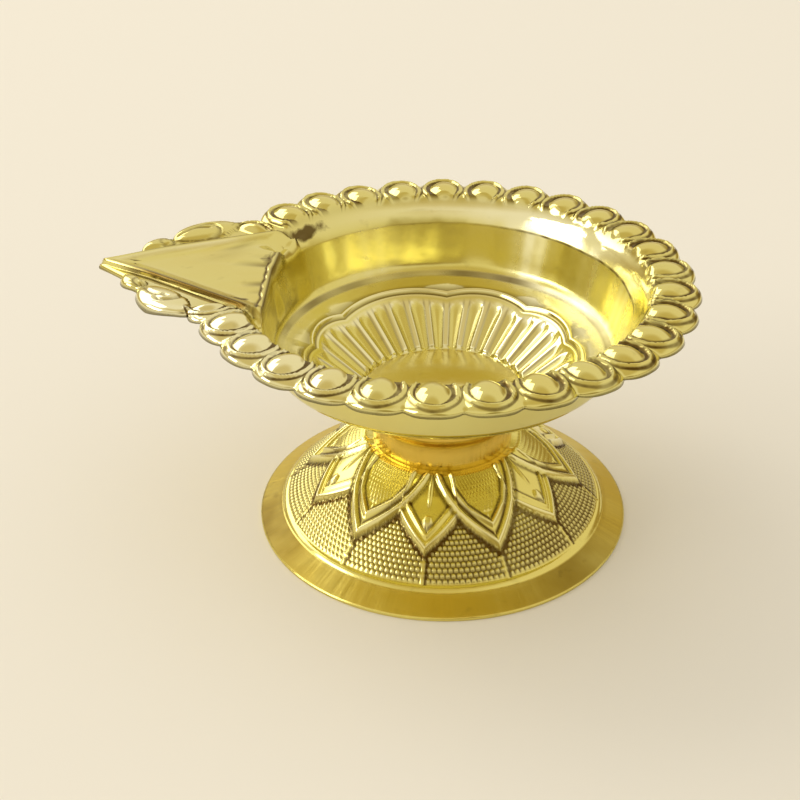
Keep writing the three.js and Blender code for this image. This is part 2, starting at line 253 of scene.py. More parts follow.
@dataclass
class StampedSheet:
    """A thin sheet round the lamp's axis, closed from its front over the edges to its back."""

    name: str
    rings: list[SheetRing]
    columns: int = 720
    lip_density: float = 0.0
    dense_end: Range = (22, 34)
    fine_steps: int = 7200

    def turns(self) -> Array:
        """Turns of the columns, closer together at the lip by the density there."""
        fine = np.linspace(0, 2 * math.pi, self.fine_steps + 1)
        density = 1 + self.lip_density * (1 - smooth(from_lip(fine), *self.dense_end))
        steps = (density[1:] + density[:-1]) / 2
        count = np.concatenate([[0], np.cumsum(steps)])
        wanted = np.arange(self.columns) * count[-1] / self.columns
        return np.interp(wanted, count, fine)

    def outline(self) -> list[tuple[int, bool]]:
        """Order of the rings round the sheet's section, each with whether it is the back."""
        front = [(index, False) for index in range(len(self.rings))]
        back = [(index, True) for index, ring in enumerate(self.rings) if ring.backed]
        return front + back[::-1]

    def build(self) -> bpy.types.Object:
        """Closes a sheet of squares round the axis and presses the relief into it.

        Returns:
            The finished object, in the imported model's frame.
        """
        section = self.outline()
        bm = bmesh.new()
        column = bm.verts.layers.int.new("column")
        row = bm.verts.layers.int.new("row")
        bmesh.ops.create_grid(
            bm, x_segments=self.columns, y_segments=len(section), size=1, calc_uvs=False)
        bm.verts.ensure_lookup_table()
        width = self.columns + 1
        seams = {}
        for index, vert in enumerate(bm.verts):
            vert[column] = index % width
            vert[row] = index // width
            first = index // width % len(section) * width + index % width % self.columns
            if first != index:
                seams[vert] = bm.verts[first]
        bmesh.ops.weld_verts(bm, targetmap=seams)
        mesh = bpy.data.meshes.new(self.name)
        bm.to_mesh(mesh)
        bm.free()
        self.press(mesh, section)
        return finish_mesh(mesh)

    def press(self, mesh: bpy.types.Mesh, section: list[tuple[int, bool]]) -> None:
        """Moves every point of the flat sheet to its place and marks it.

        Args:
            mesh: The closed sheet, with the row and the column of each point.
            section: Rings round the sheet's section, each with whether it is the back.
        """
        count = len(mesh.vertices)
        rows = np.zeros(count, np.int32)
        columns = np.zeros(count, np.int32)
        mesh.attributes["row"].data.foreach_get("value", rows)
        mesh.attributes["column"].data.foreach_get("value", columns)
        turns = self.turns()[columns]
        points = np.zeros((count, 3))
        marks = {name: np.zeros(count, np.float32) for name in MARKS}
        for index, (ring_index, back) in enumerate(section):
            here = rows == index
            ring = self.rings[ring_index]
            turn = turns[here]
            radius, height = ring.place(turn)
            if back:
                out, up = ring.inward(turn)
                radius = radius + LEVELS.sheet * out
                height = height + LEVELS.sheet * up
            points[here] = np.stack([radius * np.cos(turn), radius * np.sin(turn), height], axis=1)
            for name, values in marks.items():
                mask = getattr(ring, name)
                if mask is not None and not back:
                    values[here] = mask(turn)
        points = (points + [LEVELS.axis_shift, 0, 0]) * METRES
        mesh.vertices.foreach_set("co", points.ravel())
        for name in ("row", "column"):
            mesh.attributes.remove(mesh.attributes[name])
        for name, values in marks.items():
            attribute = mesh.attributes.new(name, "FLOAT", "POINT")
            attribute.data.foreach_set("value", values)
        mesh.update()


@dataclass
class TurnedPiece:
    """A piece turned on the lamp's axis, from a closed or axis-to-axis profile."""

    name: str
    profile: Sequence[Point]
    steps: int = 192
    bevel: float = 0.08
    bevel_segments: int = 2
    satin: float = 0
    sharp_angle: float = 40
    merge_distance: float = 1e-4

    def build(self) -> bpy.types.Object:
        """Spins the profile, rounds its sharp edges and places it.

        Returns:
            The finished object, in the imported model's frame.
        """
        bm = bmesh.new()
        start = [bm.verts.new((radius, 0, height)) for radius, height in self.profile]
        closed = min(radius for radius, _ in self.profile) > 0
        following = start[1:] + start[:1] if closed else start[1:]
        edges = [bm.edges.new(pair) for pair in zip(start, following)]
        bmesh.ops.spin(
            bm, geom=start + edges, cent=(0, 0, 0), axis=(0, 0, 1), dvec=(0, 0, 0),
            angle=2 * math.pi, steps=self.steps, use_merge=True, use_duplicate=False)
        bmesh.ops.remove_doubles(bm, verts=bm.verts, dist=self.merge_distance)
        bmesh.ops.recalc_face_normals(bm, faces=bm.faces)
        limit = math.radians(self.sharp_angle)
        sharp = [
            edge for edge in bm.edges
            if len(edge.link_faces) == 2 and edge.calc_face_angle(0) > limit]
        bmesh.ops.bevel(
            bm, geom=sharp, offset=self.bevel, offset_type="OFFSET", affect="EDGES",
            segments=self.bevel_segments, profile=0.5, material=-1, clamp_overlap=True)
        place = Matrix.Diagonal((METRES, METRES, METRES, 1)) @ Matrix.Translation(
            (LEVELS.axis_shift, 0, 0))
        bmesh.ops.transform(bm, matrix=place, verts=bm.verts)
        mesh = bpy.data.meshes.new(self.name)
        bm.to_mesh(mesh)
        bm.free()
        satin = mesh.attributes.new("satin", "FLOAT", "POINT")
        satin.data.foreach_set("value", np.full(len(mesh.vertices), self.satin, np.float32))
        return finish_mesh(mesh)


@dataclass
class Lip:
    """Outline of the bowl and its pointed lip in plan, with the trough, in millimetres."""

    rim_radius: float = 39.97
    lobe_count: int = 27
    lobe_pitch: float = 12.15
    lobe_notch: float = 1.5
    lobe_power: float = 2.2
    reach: float = 16.53
    tip_blade: float = 1.2
    sill_radius: float = 27.6
    sill_skew: float = 0.12
    sill_round: Range = (1.6, 5.5)
    sill_sides: Range = (-0.1, 0.1)
    sill_lean: float = 0.15
    sill_span: float = 60
    wall_top_radius: float = 29.9
    flange_radius: float = 32.5
    gutter_radius: float = 31.0
    bank_half_width: float = 13.1
    last_lobe_bulge: float = 0.6
    large_leaf_bulge: float = 3.2
    small_leaf_bulge: float = 1.5
    leaf_start: Point = (-3, 16.3)
    leaf_end: Point = (7, 9)
    blade_start: Point = (10.8, 4.5)
    side_end: Range = (24, 31)

    def __post_init__(self) -> None:
        """Works out the corners of the outline and the length of the trough."""
        lobe_end = math.radians(self.lobe_pitch * (self.lobe_count - 2) / 2)
        notch = self.rim_radius - self.lobe_notch
        self.corners = [Vector((notch * math.cos(lobe_end), notch * math.sin(lobe_end)))]
        for reach, side in (self.leaf_start, self.leaf_end, self.blade_start):
            self.corners.append(Vector((-self.rim_radius - reach, side)))
        self.tip_radius = self.rim_radius + self.reach
        self.tip = Vector((-self.tip_radius, 0))
        self.corner_turns = [
            math.degrees(math.atan2(corner.y, -corner.x)) for corner in self.corners]
        self.trough_end = self.tip_radius - self.tip_blade
        self.bank_foot = math.sqrt(self.flange_radius ** 2 - self.bank_half_width ** 2)
        self.trough_length = self.trough_end - self.bank_foot
        self.sill_edge = math.degrees(math.acos(self.sill_radius / self.wall_top_radius))
        self.sill_turn = math.atan(self.sill_skew)

    def arc(self, start: Vector, end: Vector, bulge: float, ray: Array) -> Array:
        """Radius at which rays from the axis meet an arc that bulges outwards.

        Args:
            start: One end of the arc, in plan.
            end: The other end.
            bulge: How far the arc stands out from its chord.
            ray: Radians of each ray from the lip's axis.

        Returns:
            The radius on each ray.
        """
        chord = end - start
        half = chord.length / 2
        bend = (half * half + bulge * bulge) / (2 * bulge)
        inward = Vector((chord.y, -chord.x)).normalized()
        middle = (start + end) / 2
        if inward.dot(middle) > 0:
            inward = -inward
        centre = middle + inward * (bend - bulge)
        along = -np.cos(ray) * centre.x + np.sin(ray) * centre.y
        inside = along * along - centre.length_squared + bend * bend
        return along + np.sqrt(np.maximum(inside, 0))

    def outline(self, turn: Array) -> Array:
        """Radius of the bowl's outer edge: lobes, then two leaves and the blade."""
        angle = from_lip(turn)
        ray = np.radians(angle)
        lobe = (180 - angle) / self.lobe_pitch
        offset = 2 * (lobe - np.rint(lobe))
        radius = self.rim_radius - self.lobe_notch * np.abs(offset) ** self.lobe_power
        bulges = (self.last_lobe_bulge, self.large_leaf_bulge, self.small_leaf_bulge)
        for stretch, bulge in enumerate(bulges):
            start, end = self.corners[stretch], self.corners[stretch + 1]
            here = (angle < self.corner_turns[stretch]) & (angle >= self.corner_turns[stretch + 1])
            radius = np.where(here, self.arc(start, end, bulge, ray), radius)
        blade = self.corners[-1]
        edge = self.tip - blade
        cross = -np.cos(ray) * edge.y - np.sin(ray) * edge.x
        straight = (blade.x * edge.y - blade.y * edge.x) / cross
        return np.where(angle < self.corner_turns[-1], straight, radius)

    def side(self, turn: Array) -> Array:
        """Share of the lip's own relief, 1 beside the lip and 0 along the bosses."""
        return 1 - smooth(from_lip(turn), *self.side_end)

    def inset(self, x: Array, y: Array) -> Array:
        """Distance from the bank of the trough, above zero inside it."""
        length = math.hypot(self.trough_length, self.bank_half_width)
        side = self.bank_half_width * (x + self.trough_end) - self.trough_length * np.abs(y)
        return np.where(x > 0, -self.trough_length, side / length)

    def bank(self, turn: Array) -> Array:
        """Radius of the bank, and round the rest of the bowl the flange's inner edge."""
        angle = from_lip(turn)
        ray = np.radians(np.minimum(angle, 90))
        width = self.trough_length * np.sin(ray) + self.bank_half_width * np.cos(ray)
        along = np.maximum(self.flange_radius, self.bank_half_width * self.trough_end / width)
        return np.where(angle > 90, self.flange_radius, along)

    def mouth(self, radius: float, turn: Array, below: float = 0) -> Array:
        """Radius of the bowl's wall, a circle that the lip's sill cuts straight across.

        Args:
            radius: Radius of the circle.
            turn: Turn of each point.
            below: Depth under the wall's top.

        Returns:
            The radius at each turn.
        """
        angle = np.minimum(from_lip(turn - self.sill_turn), self.sill_span)
        sill = self.sill_radius * math.cos(self.sill_turn) - self.sill_lean * below
        line = sill / np.cos(np.radians(angle))
        bend = mix(*self.sill_round, smooth(np.sin(turn), *self.sill_sides))
        near = np.maximum(bend - np.abs(line - radius), 0)
        return np.minimum(radius, line) - near * near / (4 * bend)

    def gutter(self, turn: Array) -> Array:
        """0 along the lip's sill and 1 round the rest of the mouth."""
        bend = self.lobe_pitch / 4
        angle = from_lip(turn - self.sill_turn)
        return smooth(angle, self.sill_edge - bend, self.sill_edge + bend)


@dataclass
class Leaves:
    """Relief and painted shade of the two leaves and the pearl on each side of the lip."""

    lip: Lip = field(default_factory=Lip)
    large_width: float = 3.2
    large_height: float = 1.25
    # Painted shade round the large leaf, on one side only.
    large_shade_line: Line = Line(0.18, 0.2)
    large_line_side: float = 0.3
    small_width: float = 1.75
    small_height: float = 0.95
    # Painted shade round the small leaf, on one side only.
    small_shade_line: Line = Line(0.2, 0.22)
    small_line_side: float = 0.2
    length_share: float = 0.48
    cut_depth: float = 0.4
    hook_place: Point = (-41.2, 11.9)
    hook: Line = Line(2.0, 0.55)
    hook_start: Range = (-30.6, -28.4)
    # Strength of the painted shade in the curled hook.
    hook_shade: float = 0.7
    vein: Line = Line(-0.2, 0.45, 0.8)
    vein_wave: float = 0.55
    vein_pace: float = 0.9
    vein_start: float = -42
    vein_rise: Range = (0.35, 0.6)
    vein_end: Range = (-40.2, -41.4)
    pearl_place: Point = (-47.0, 7.4)
    pearl_radius: float = 1.0
    pearl_height: float = 0.8
    # Painted shade round the pearl.
    pearl_shade_line: Line = Line(0.1, 0.3)

    def leaf(self, x: Array, y: Array, corner: int, width: float) -> tuple[Array, Array]:
        """Places in one leaf's own directions, between two corners of the outline.

        Args:
            x: Length of each point.
            y: Side of each point.
            corner: The outline's corner at which the leaf starts.
            width: Half of the leaf's width.

        Returns:
            The leaf's dome, and how far each point lies beyond the middle of the leaf.
        """
        start, end = self.lip.corners[corner], self.lip.corners[corner + 1]
        along = (end - start).normalized()
        middle = (start + end) / 2
        from_x, from_y = x - middle.x, np.abs(y) - middle.y
        lengthwise = from_x * along.x + from_y * along.y
        across = from_x * along.y - from_y * along.x
        length = (end - start).length * self.length_share
        return dome(lengthwise / length, across / width), across

    def large(self, x: Array, y: Array) -> tuple[Array, Array]:
        """The large leaf's dome, and the distance beyond its middle."""
        return self.leaf(x, y, 1, self.large_width)

    def small(self, x: Array, y: Array) -> tuple[Array, Array]:
        """The small leaf's dome, and the distance beyond its middle."""
        return self.leaf(x, y, 2, self.small_width)

    def cuts(self, x: Array, y: Array) -> tuple[Array, Array]:
        """Strength of the curled hook and of the wavy vein that are cut into the large leaf."""
        large, across = self.large(x, y)
        hook_x, hook_y = self.hook_place
        side = np.abs(y)
        hook = self.hook.at(np.hypot(x - hook_x, side - hook_y)) * (large > 0)
        wavy = across + self.vein_wave * np.sin((x - self.vein_start) * self.vein_pace)
        vein = self.vein.at(wavy) * smooth(large, *self.vein_rise) * smooth(x, *self.vein_end)
        return hook * smooth(x + side, *self.hook_start), vein

    def from_pearl(self, x: Array, y: Array) -> Array:
        """Distance from the pearl's centre."""
        return np.hypot(x - self.pearl_place[0], np.abs(y) - self.pearl_place[1])

    def relief(self, x: Array, y: Array) -> Array:
        """Height of the leaves and the pearl."""
        hook, vein = self.cuts(x, y)
        leaves = self.large_height * self.large(x, y)[0] + self.small_height * self.small(x, y)[0]
        pearl = dome(self.from_pearl(x, y) / self.pearl_radius, 0 * x)
        return np.maximum(leaves - self.cut_depth * (hook + vein), self.pearl_height * pearl)

    def lines(self, x: Array, y: Array) -> Array:
        """Painted shade round the leaves and the pearl, and in their cuts."""
        large, large_across = self.large(x, y)
        small, small_across = self.small(x, y)
        hook, vein = self.cuts(x, y)
        lines = self.large_shade_line.at(large) * (large_across < self.large_line_side)
        lines = lines + vein + self.hook_shade * hook
        lines = lines + self.small_shade_line.at(small) * (small_across < self.small_line_side)
        lines = lines + self.pearl_shade_line.at(self.from_pearl(x, y) - self.pearl_radius)
        return np.clip(lines, 0, 1)


@dataclass
class Border:
    """Relief and marks of the bowl's border: bosses in their loops, bank, trough and sill."""

    lip: Lip = field(default_factory=Lip)
    leaves: Leaves = field(default_factory=Leaves)
    flange_height: float = 43.0
    gutter_drop: float = 1.8
    gutter_power: float = 1.5
    skirt_drop: float = 0.8
    skirt_width: float = 0.9
    boss_radius: float = 35.35
    last_boss_shift: float = 1.75
    boss_start: Range = (-0.7, 0.5)
    boss_end: Range = (20.5, 23.5)
    boss_clear: Range = (0.3, 1.5)
    loop_half_length: float = 3.55
    loop_half_width: float = 3.25
    loop_taper: float = 0.4
    last_loop_scale: float = 0.84
    loop: Line = Line(0, 0.4, 0.48)
    groove: Line = Line(-0.55, 0.35, 0.35)
    groove_start: float = 0.9
    plate_height: float = 0.5
    plate_edge: Range = (1.06, 1.45)
    dome_half_length: float = 3.2
    dome_half_width: float = 2.5
    dome_shift: float = 0.28
    dome_back: float = 0.3
    dome_height: float = 1.5
    dome_power: float = 0.88
    lift: float = 0.5
    lift_run: float = 12
    crest_height: float = 0.4
    crest_end: float = 0.3
    trough_depth: float = 0.8
    trough_fillet: Range = (0.1, 2.4)
    trough_shade: Patch = Patch((-35.6, 6.2), 3.6, 0.7, 0.6, (0.62, 0.78))
    valley_depth: float = 0.95
    valley_fillet: Range = (0.06, 0.34)
    leaf_clear: Range = (1.0, 2.2)
    leaf_end: float = 27
    # Strength of the painted shade round the leaves.
    leaf_darkness: float = 0.9
    sill_strip: float = 0.95
    sill_waves: tuple[Wave, ...] = ((0.12, 23, 0), (0.1, 57, 1))
    sill_cut: Line = Line(0, 0.35, 0.2)
    sill_line: Line = Line(0, 0.4)
    # Painted shade under the mouth's bend, at the bank's foot, on the near bank, by the flange and
    # under the cut edge.
    mouth_line: Line = Line(0.05, 0.3, 0.9)
    bank_line: Line = Line(-0.4, 0.8, 1.44)
    bank_line_most: float = 0.9
    bank_line_start: Range = (3, 8)
    near_bank_line: Line = Line(0.15, 0.6, 0.7)
    near_bank_start: Range = (5, 12)
    flange_line: Line = Line(-0.3, 0.9, 0.12)
    cut_edge: Range = (0.12, 0.02)
    cut_darkness: float = 0.75
    # Painted highlights on the far side's bend, the near bosses, the trough's far bank and the near
    # leaf.
    highlight_bend: Stretch = Stretch(72, 46, 1.2)
    highlight_bend_end: Range = (0.2, 1.8)
    highlight_bosses: Stretch = Stretch(-137, 34, 0.9, 4)
    highlight_bank: Line = Line(0.9, 0.8, 0.9)
    highlight_bank_start: Range = (30, 38)
    highlight_leaf_place: float = -41.5
    highlight_leaf_width: float = 5.5
    highlight_leaf_edge: Range = (0.8, 1.6)
    tarnish: tuple[Patch, ...] = (
        Patch((-25.5, 17.5), 5.0, 0.9, 1.0, (0.57, 0.82)), Patch((-31.0, -10.9), 3.2, 0.9, 0.8),
        Patch((-50.2, 0.6), 1.7, 0.28, 0.75), Patch((-43.7, 0.1), 1.2, 0.22, 0.75))
    sill_tarnish: float = 0.62
    sill_tarnish_place: float = -0.9
    sill_tarnish_width: float = 0.35
    sill_tarnish_side: float = 11
    sill_tarnish_power: int = 6
    # Painted shade round the bosses, wider on the right, and a painted dark reflection on one side
    # of each dome.
    groove_shade: Line = Line(-0.5, 0.33)
    groove_widening: float = 0.16
    loop_shade: Line = Line(0.52, 0.26, 0.9)
    loop_widening: float = 0.1
    crescent_swell: Range = (0.97, 1.05)
    crescent_edge: Range = (-0.3, -0.45)
    crescent_side: Range = (0.3, 1.1)

    def boss(self, radius: Array, turn: Array) -> Array:
        """Relief of the bosses and their loops."""
        pitch = self.lip.lobe_pitch
        degrees = np.degrees(np.arctan2(np.sin(turn), np.cos(turn)))
        last = (self.lip.lobe_count - 1) / 2
        lobe = np.clip(np.rint(degrees / pitch), -last, last)
        is_last = np.abs(lobe) == last
        centre = self.boss_radius + self.last_boss_shift * is_last
        scale = np.where(is_last, self.last_loop_scale, 1)
        aside = np.radians(degrees - lobe * pitch) * radius / scale
        along = (radius - centre) / scale
        taper = 1 - self.loop_taper * np.clip(-along / self.loop_half_length, 0, 1) ** 2
        reach = np.hypot(
            np.maximum(along, 0) / self.loop_half_length, aside / (self.loop_half_width * taper))
        swell = np.hypot(
            (along + self.dome_back) / self.dome_half_length,
            (aside + self.dome_shift) / (self.dome_half_width * taper))
        from_loop = (reach - 1) * self.loop_half_width
        plate = self.plate_height * (1 - smooth(reach, *self.plate_edge))
        loop = self.loop.at(from_loop) - self.groove.at(from_loop) * (swell > self.groove_start)
        rise = self.dome_height - self.plate_height
        bowl = rise * np.clip(1 - swell ** 2, 0, 1) ** self.dome_power
        return (plate + np.maximum(loop, bowl)) * scale

    def bossed(self, radius: Array, turn: Array) -> Array:
        """Share of the bosses, which end at the flange and at the lip's banks."""
        inset = self.lip.inset(radius * np.cos(turn), radius * np.sin(turn))
        inner = smooth(radius - self.lip.flange_radius, *self.boss_start)
        return inner * smooth(from_lip(turn), *self.boss_end) * smooth(-inset, *self.boss_clear)

    def leafy(self, inset: Array, turn: Array) -> Array:
        """Share of the leaves, which end at the bank and at the last boss."""
        return smooth(-inset, *self.leaf_clear) * (from_lip(turn) < self.leaf_end)

    def bank(self, inset: Array) -> Array:
        """Height of the bank: its crest, the trough inside it and the valley outside it."""
        inside = self.trough_depth * smooth(inset, *self.trough_fillet)
        outside = self.valley_depth * smooth(-inset, *self.valley_fillet)
        return self.crest_height - inside - outside

    def from_sill(self, radius: Array, turn: Array) -> tuple[Array, Array]:
        """Distance outside the edge of the mouth, and outside the sill's uneven groove."""
        from_edge = radius - self.lip.mouth(self.lip.gutter_radius, turn)
        return from_edge, from_edge - self.sill_strip - waves(turn, self.sill_waves)

    def height(self, radius: Array, turn: Array) -> Array:
        """Height of the border over points in plan."""
        lip = self.lip
        x, y = radius * np.cos(turn), radius * np.sin(turn)
        inset = lip.inset(x, y)
        roll = (lip.flange_radius - radius) / (lip.flange_radius - lip.gutter_radius)
        gutter = lip.gutter(turn) * np.clip(roll, 0, 1) ** self.gutter_power
        rise = smooth(lip.tip_radius + x, 0, self.lift_run)
        rise = rise * smooth(-x, lip.bank_foot - lip.bank_half_width, lip.bank_foot)
        boss = self.boss(radius, turn) * self.bossed(radius, turn)
        crest = np.maximum(lip.side(turn), smooth(inset, -self.crest_end, self.crest_end))
        bank = self.bank(inset) * crest
        valley = self.bank(np.full_like(inset, -self.valley_fillet[1]))
        leaves = valley + self.leaves.relief(x, y) * self.leafy(inset, turn)
        bank = np.where(inset < -self.leaf_clear[0], np.maximum(bank, leaves), bank)
        sill = self.sill_cut.at(self.from_sill(radius, turn)[1]) * (1 - lip.gutter(turn))
        edge = np.clip((lip.outline(turn) - radius) / self.skirt_width, 0, 1)
        skirt = self.skirt_drop * (1 - np.sqrt(1 - (1 - edge) ** 2))
        height = self.flange_height + self.lift * rise + boss + bank
        return height - sill - self.gutter_drop * gutter - skirt

    def painted_shade(self, radius: Array, turn: Array) -> Array:
        """Share of the painted shade along the bank, the leaves, the cut edge and the sill."""
        lip = self.lip
        x, y = radius * np.cos(turn), radius * np.sin(turn)
        inset = lip.inset(x, y)
        from_tip = lip.tip_radius + x
        bank = np.minimum(self.bank_line.at(inset), self.bank_line_most)
        bank = bank * smooth(from_tip, *self.bank_line_start)
        near = self.near_bank_line.at(inset) * (y < 0) * smooth(from_tip, *self.near_bank_start)
        leaves = self.leaf_darkness * self.leaves.lines(x, y) * self.leafy(inset, turn)
        flange = self.flange_line.at(radius - lip.flange_radius) * (1 - lip.side(turn))
        cut = self.cut_darkness * smooth(lip.outline(turn) - radius, *self.cut_edge)
        from_edge, from_groove = self.from_sill(radius, turn)
        sill = np.maximum(self.sill_line.at(from_groove), self.mouth_line.at(from_edge))
        sill = sill * (1 - lip.gutter(turn)) + self.trough_shade.at(x, y)
        return (bank + near + leaves) * lip.side(turn) + flange + cut + sill

    def rub_and_highlight(self, radius: Array, turn: Array) -> Array:
        """Painted highlights: the far side's bend, the trough's far bank, the near bosses and leaf.
        """
        lip = self.lip
        x, y = radius * np.cos(turn), radius * np.sin(turn)
        inset = lip.inset(x, y)
        bend = 1 - smooth(radius - lip.gutter_radius, *self.highlight_bend_end)
        bend = self.highlight_bend.at(turn) * bend * lip.gutter(turn)
        bank = self.highlight_bank.at(inset) * (y > 0) * smooth(-x, *self.highlight_bank_start)
        leaf = fade(x - self.highlight_leaf_place, self.highlight_leaf_width) * (y < 0)
        leaf = leaf * smooth(-inset, *self.highlight_leaf_edge)
        bosses = self.highlight_bosses.at(turn) * self.bossed(radius, turn)
        return bend + (bank + leaf) * (1 - lip.gutter(turn)) + bosses

    def stain_and_shade(self, radius: Array, turn: Array) -> Array:
        """Places where tarnish gathers: along the sill, at its ends and along the near bank."""
        x, y = radius * np.cos(turn), radius * np.sin(turn)
        from_sill = x + self.lip.sill_radius + self.lip.sill_skew * y
        sill = fade(from_sill - self.sill_tarnish_place, self.sill_tarnish_width)
        sill = self.sill_tarnish * sill * fade(y, self.sill_tarnish_side, self.sill_tarnish_power)
        return sill + sum(patch.at(x, y) for patch in self.tarnish)


class Wire:
    """A value on its way through a material: arithmetic on it adds Math nodes."""

    def __init__(self, shop: "Finisher", socket: bpy.types.NodeSocket) -> None:
        """Keeps the socket and the material that it belongs to."""
        self.shop = shop
        self.socket = socket

    def calc(self, operation: str, *others: "Wire | float", first: bool = True) -> "Wire":
        """Adds a Math node on this value and others.

        Args:
            operation: The Math node's operation.
            others: The other values.
            first: Whether this value is the first input.

        Returns:
            The node's value.
        """
        values = [self, *others] if first else [*others, self]
        return self.shop.wire("ShaderNodeMath", {"operation": operation}, dict(enumerate(values)))

    def __add__(self, other: "Wire | float") -> "Wire":
        """Sum."""
        return self.calc("ADD", other)

    def __radd__(self, other: float) -> "Wire":
        """Sum with a number in front."""
        return self.calc("ADD", other)

    def __sub__(self, other: "Wire | float") -> "Wire":
        """Difference."""
        return self.calc("SUBTRACT", other)

    def __rsub__(self, other: float) -> "Wire":
        """Difference from a number."""
        return self.calc("SUBTRACT", other, first=False)

    def __mul__(self, other: "Wire | float") -> "Wire":
        """Product."""
        return self.calc("MULTIPLY", other)

    def __rmul__(self, other: float) -> "Wire":
        """Product with a number in front."""
        return self.calc("MULTIPLY", other)

    def __truediv__(self, other: "Wire | float") -> "Wire":
        """Quotient."""
        return self.calc("DIVIDE", other)

    def __pow__(self, other: float) -> "Wire":
        """Power."""
        return self.calc("POWER", other)

    def clamp(self) -> "Wire":
        """Value held between 0 and 1."""
        return self.shop.wire("ShaderNodeClamp", {}, {"Value": self})


class Finisher:
    """Node tree of a material or of the surround, with one method that adds any node."""

    def __init__(self, owner: bpy.types.Material | bpy.types.World) -> None:
        """Starts an empty node tree."""
        owner.use_nodes = True
        self.tree = owner.node_tree
        self.tree.nodes.clear()

    def node(self, kind: str, settings: dict, inputs: dict) -> bpy.types.Node:
        """Adds a node.

        Args:
            kind: The node's type.
            settings: Its settings, which are set first.
            inputs: Values or links for its sockets, by name or number.

        Returns:
            The node.
        """
        node = self.tree.nodes.new(kind)
        for name, value in settings.items():
            setattr(node, name, value)
        for name, value in inputs.items():
            socket = node.inputs[name]
            if isinstance(value, Wire):
                self.tree.links.new(value.socket, socket)
            else:
                socket.default_value = value
        return node

    def wire(self, kind: str, settings: dict, inputs: dict, output: str | int = 0) -> Wire:
        """Adds a node and gives one of its outputs."""
        return Wire(self, self.node(kind, settings, inputs).outputs[output])

    def coordinates(self) -> Wire:
        """Object coordinates."""
        return self.wire("ShaderNodeTexCoord", {}, {}, "Object")

    def from_axis(self, place: Wire) -> tuple[Wire, Wire, Wire]:
        """Coordinates from the lamp's own axis, in metres."""
        centred = self.wire(
            "ShaderNodeMapping", {},
            {"Vector": place, "Location": (-LEVELS.axis_shift * METRES, 0, 0)})
        parts = self.node("ShaderNodeSeparateXYZ", {}, {0: centred})
        x, y, z = (Wire(self, output) for output in parts.outputs)
        return x, y, z

    def ramp(self, value: Wire, low: float | Wire, high: float | Wire) -> Wire:
        """Share from 0 at one value to 1 at another."""
        return self.wire(
            "ShaderNodeMapRange", {"interpolation_type": "SMOOTHSTEP"},
            {"Value": value, "From Min": low, "From Max": high})

    def line(self, distance: Wire, line: Line, widening: Wire) -> Wire:
        """Soft dark line whose half width grows by a value that differs over the surface.

        Args:
            distance: How far each point lies outside the line's outline.
            line: The line's place, half width and strength.
            widening: What is added to its half width.

        Returns:
            The line's strength.
        """
        half_width = widening + line.half_width
        away = (distance - line.offset).calc("ABSOLUTE")
        return self.ramp(away, half_width, 0.25 * half_width) * line.strength

    def noise(self, place: Wire, scale: float, detail: float = 2.0) -> Wire:
        """Noise of a scale per metre, centred on 0.5."""
        return self.wire(
            "ShaderNodeTexNoise", {}, {"Vector": place, "Scale": scale, "Detail": detail})

    def attribute(self, name: str) -> Wire:
        """Value that the mesh carries on its points."""
        return self.wire("ShaderNodeAttribute", {"attribute_name": name}, {}, "Fac")

    def blend(self, share: Wire, first: Color | Wire, second: Color | Wire) -> Wire:
        """Mix of two colours."""
        first, second = (
            value if isinstance(value, Wire) else (*value, 1) for value in (first, second))
        return self.wire(
            "ShaderNodeMix", {"data_type": "RGBA"}, {0: share, 6: first, 7: second}, 2)


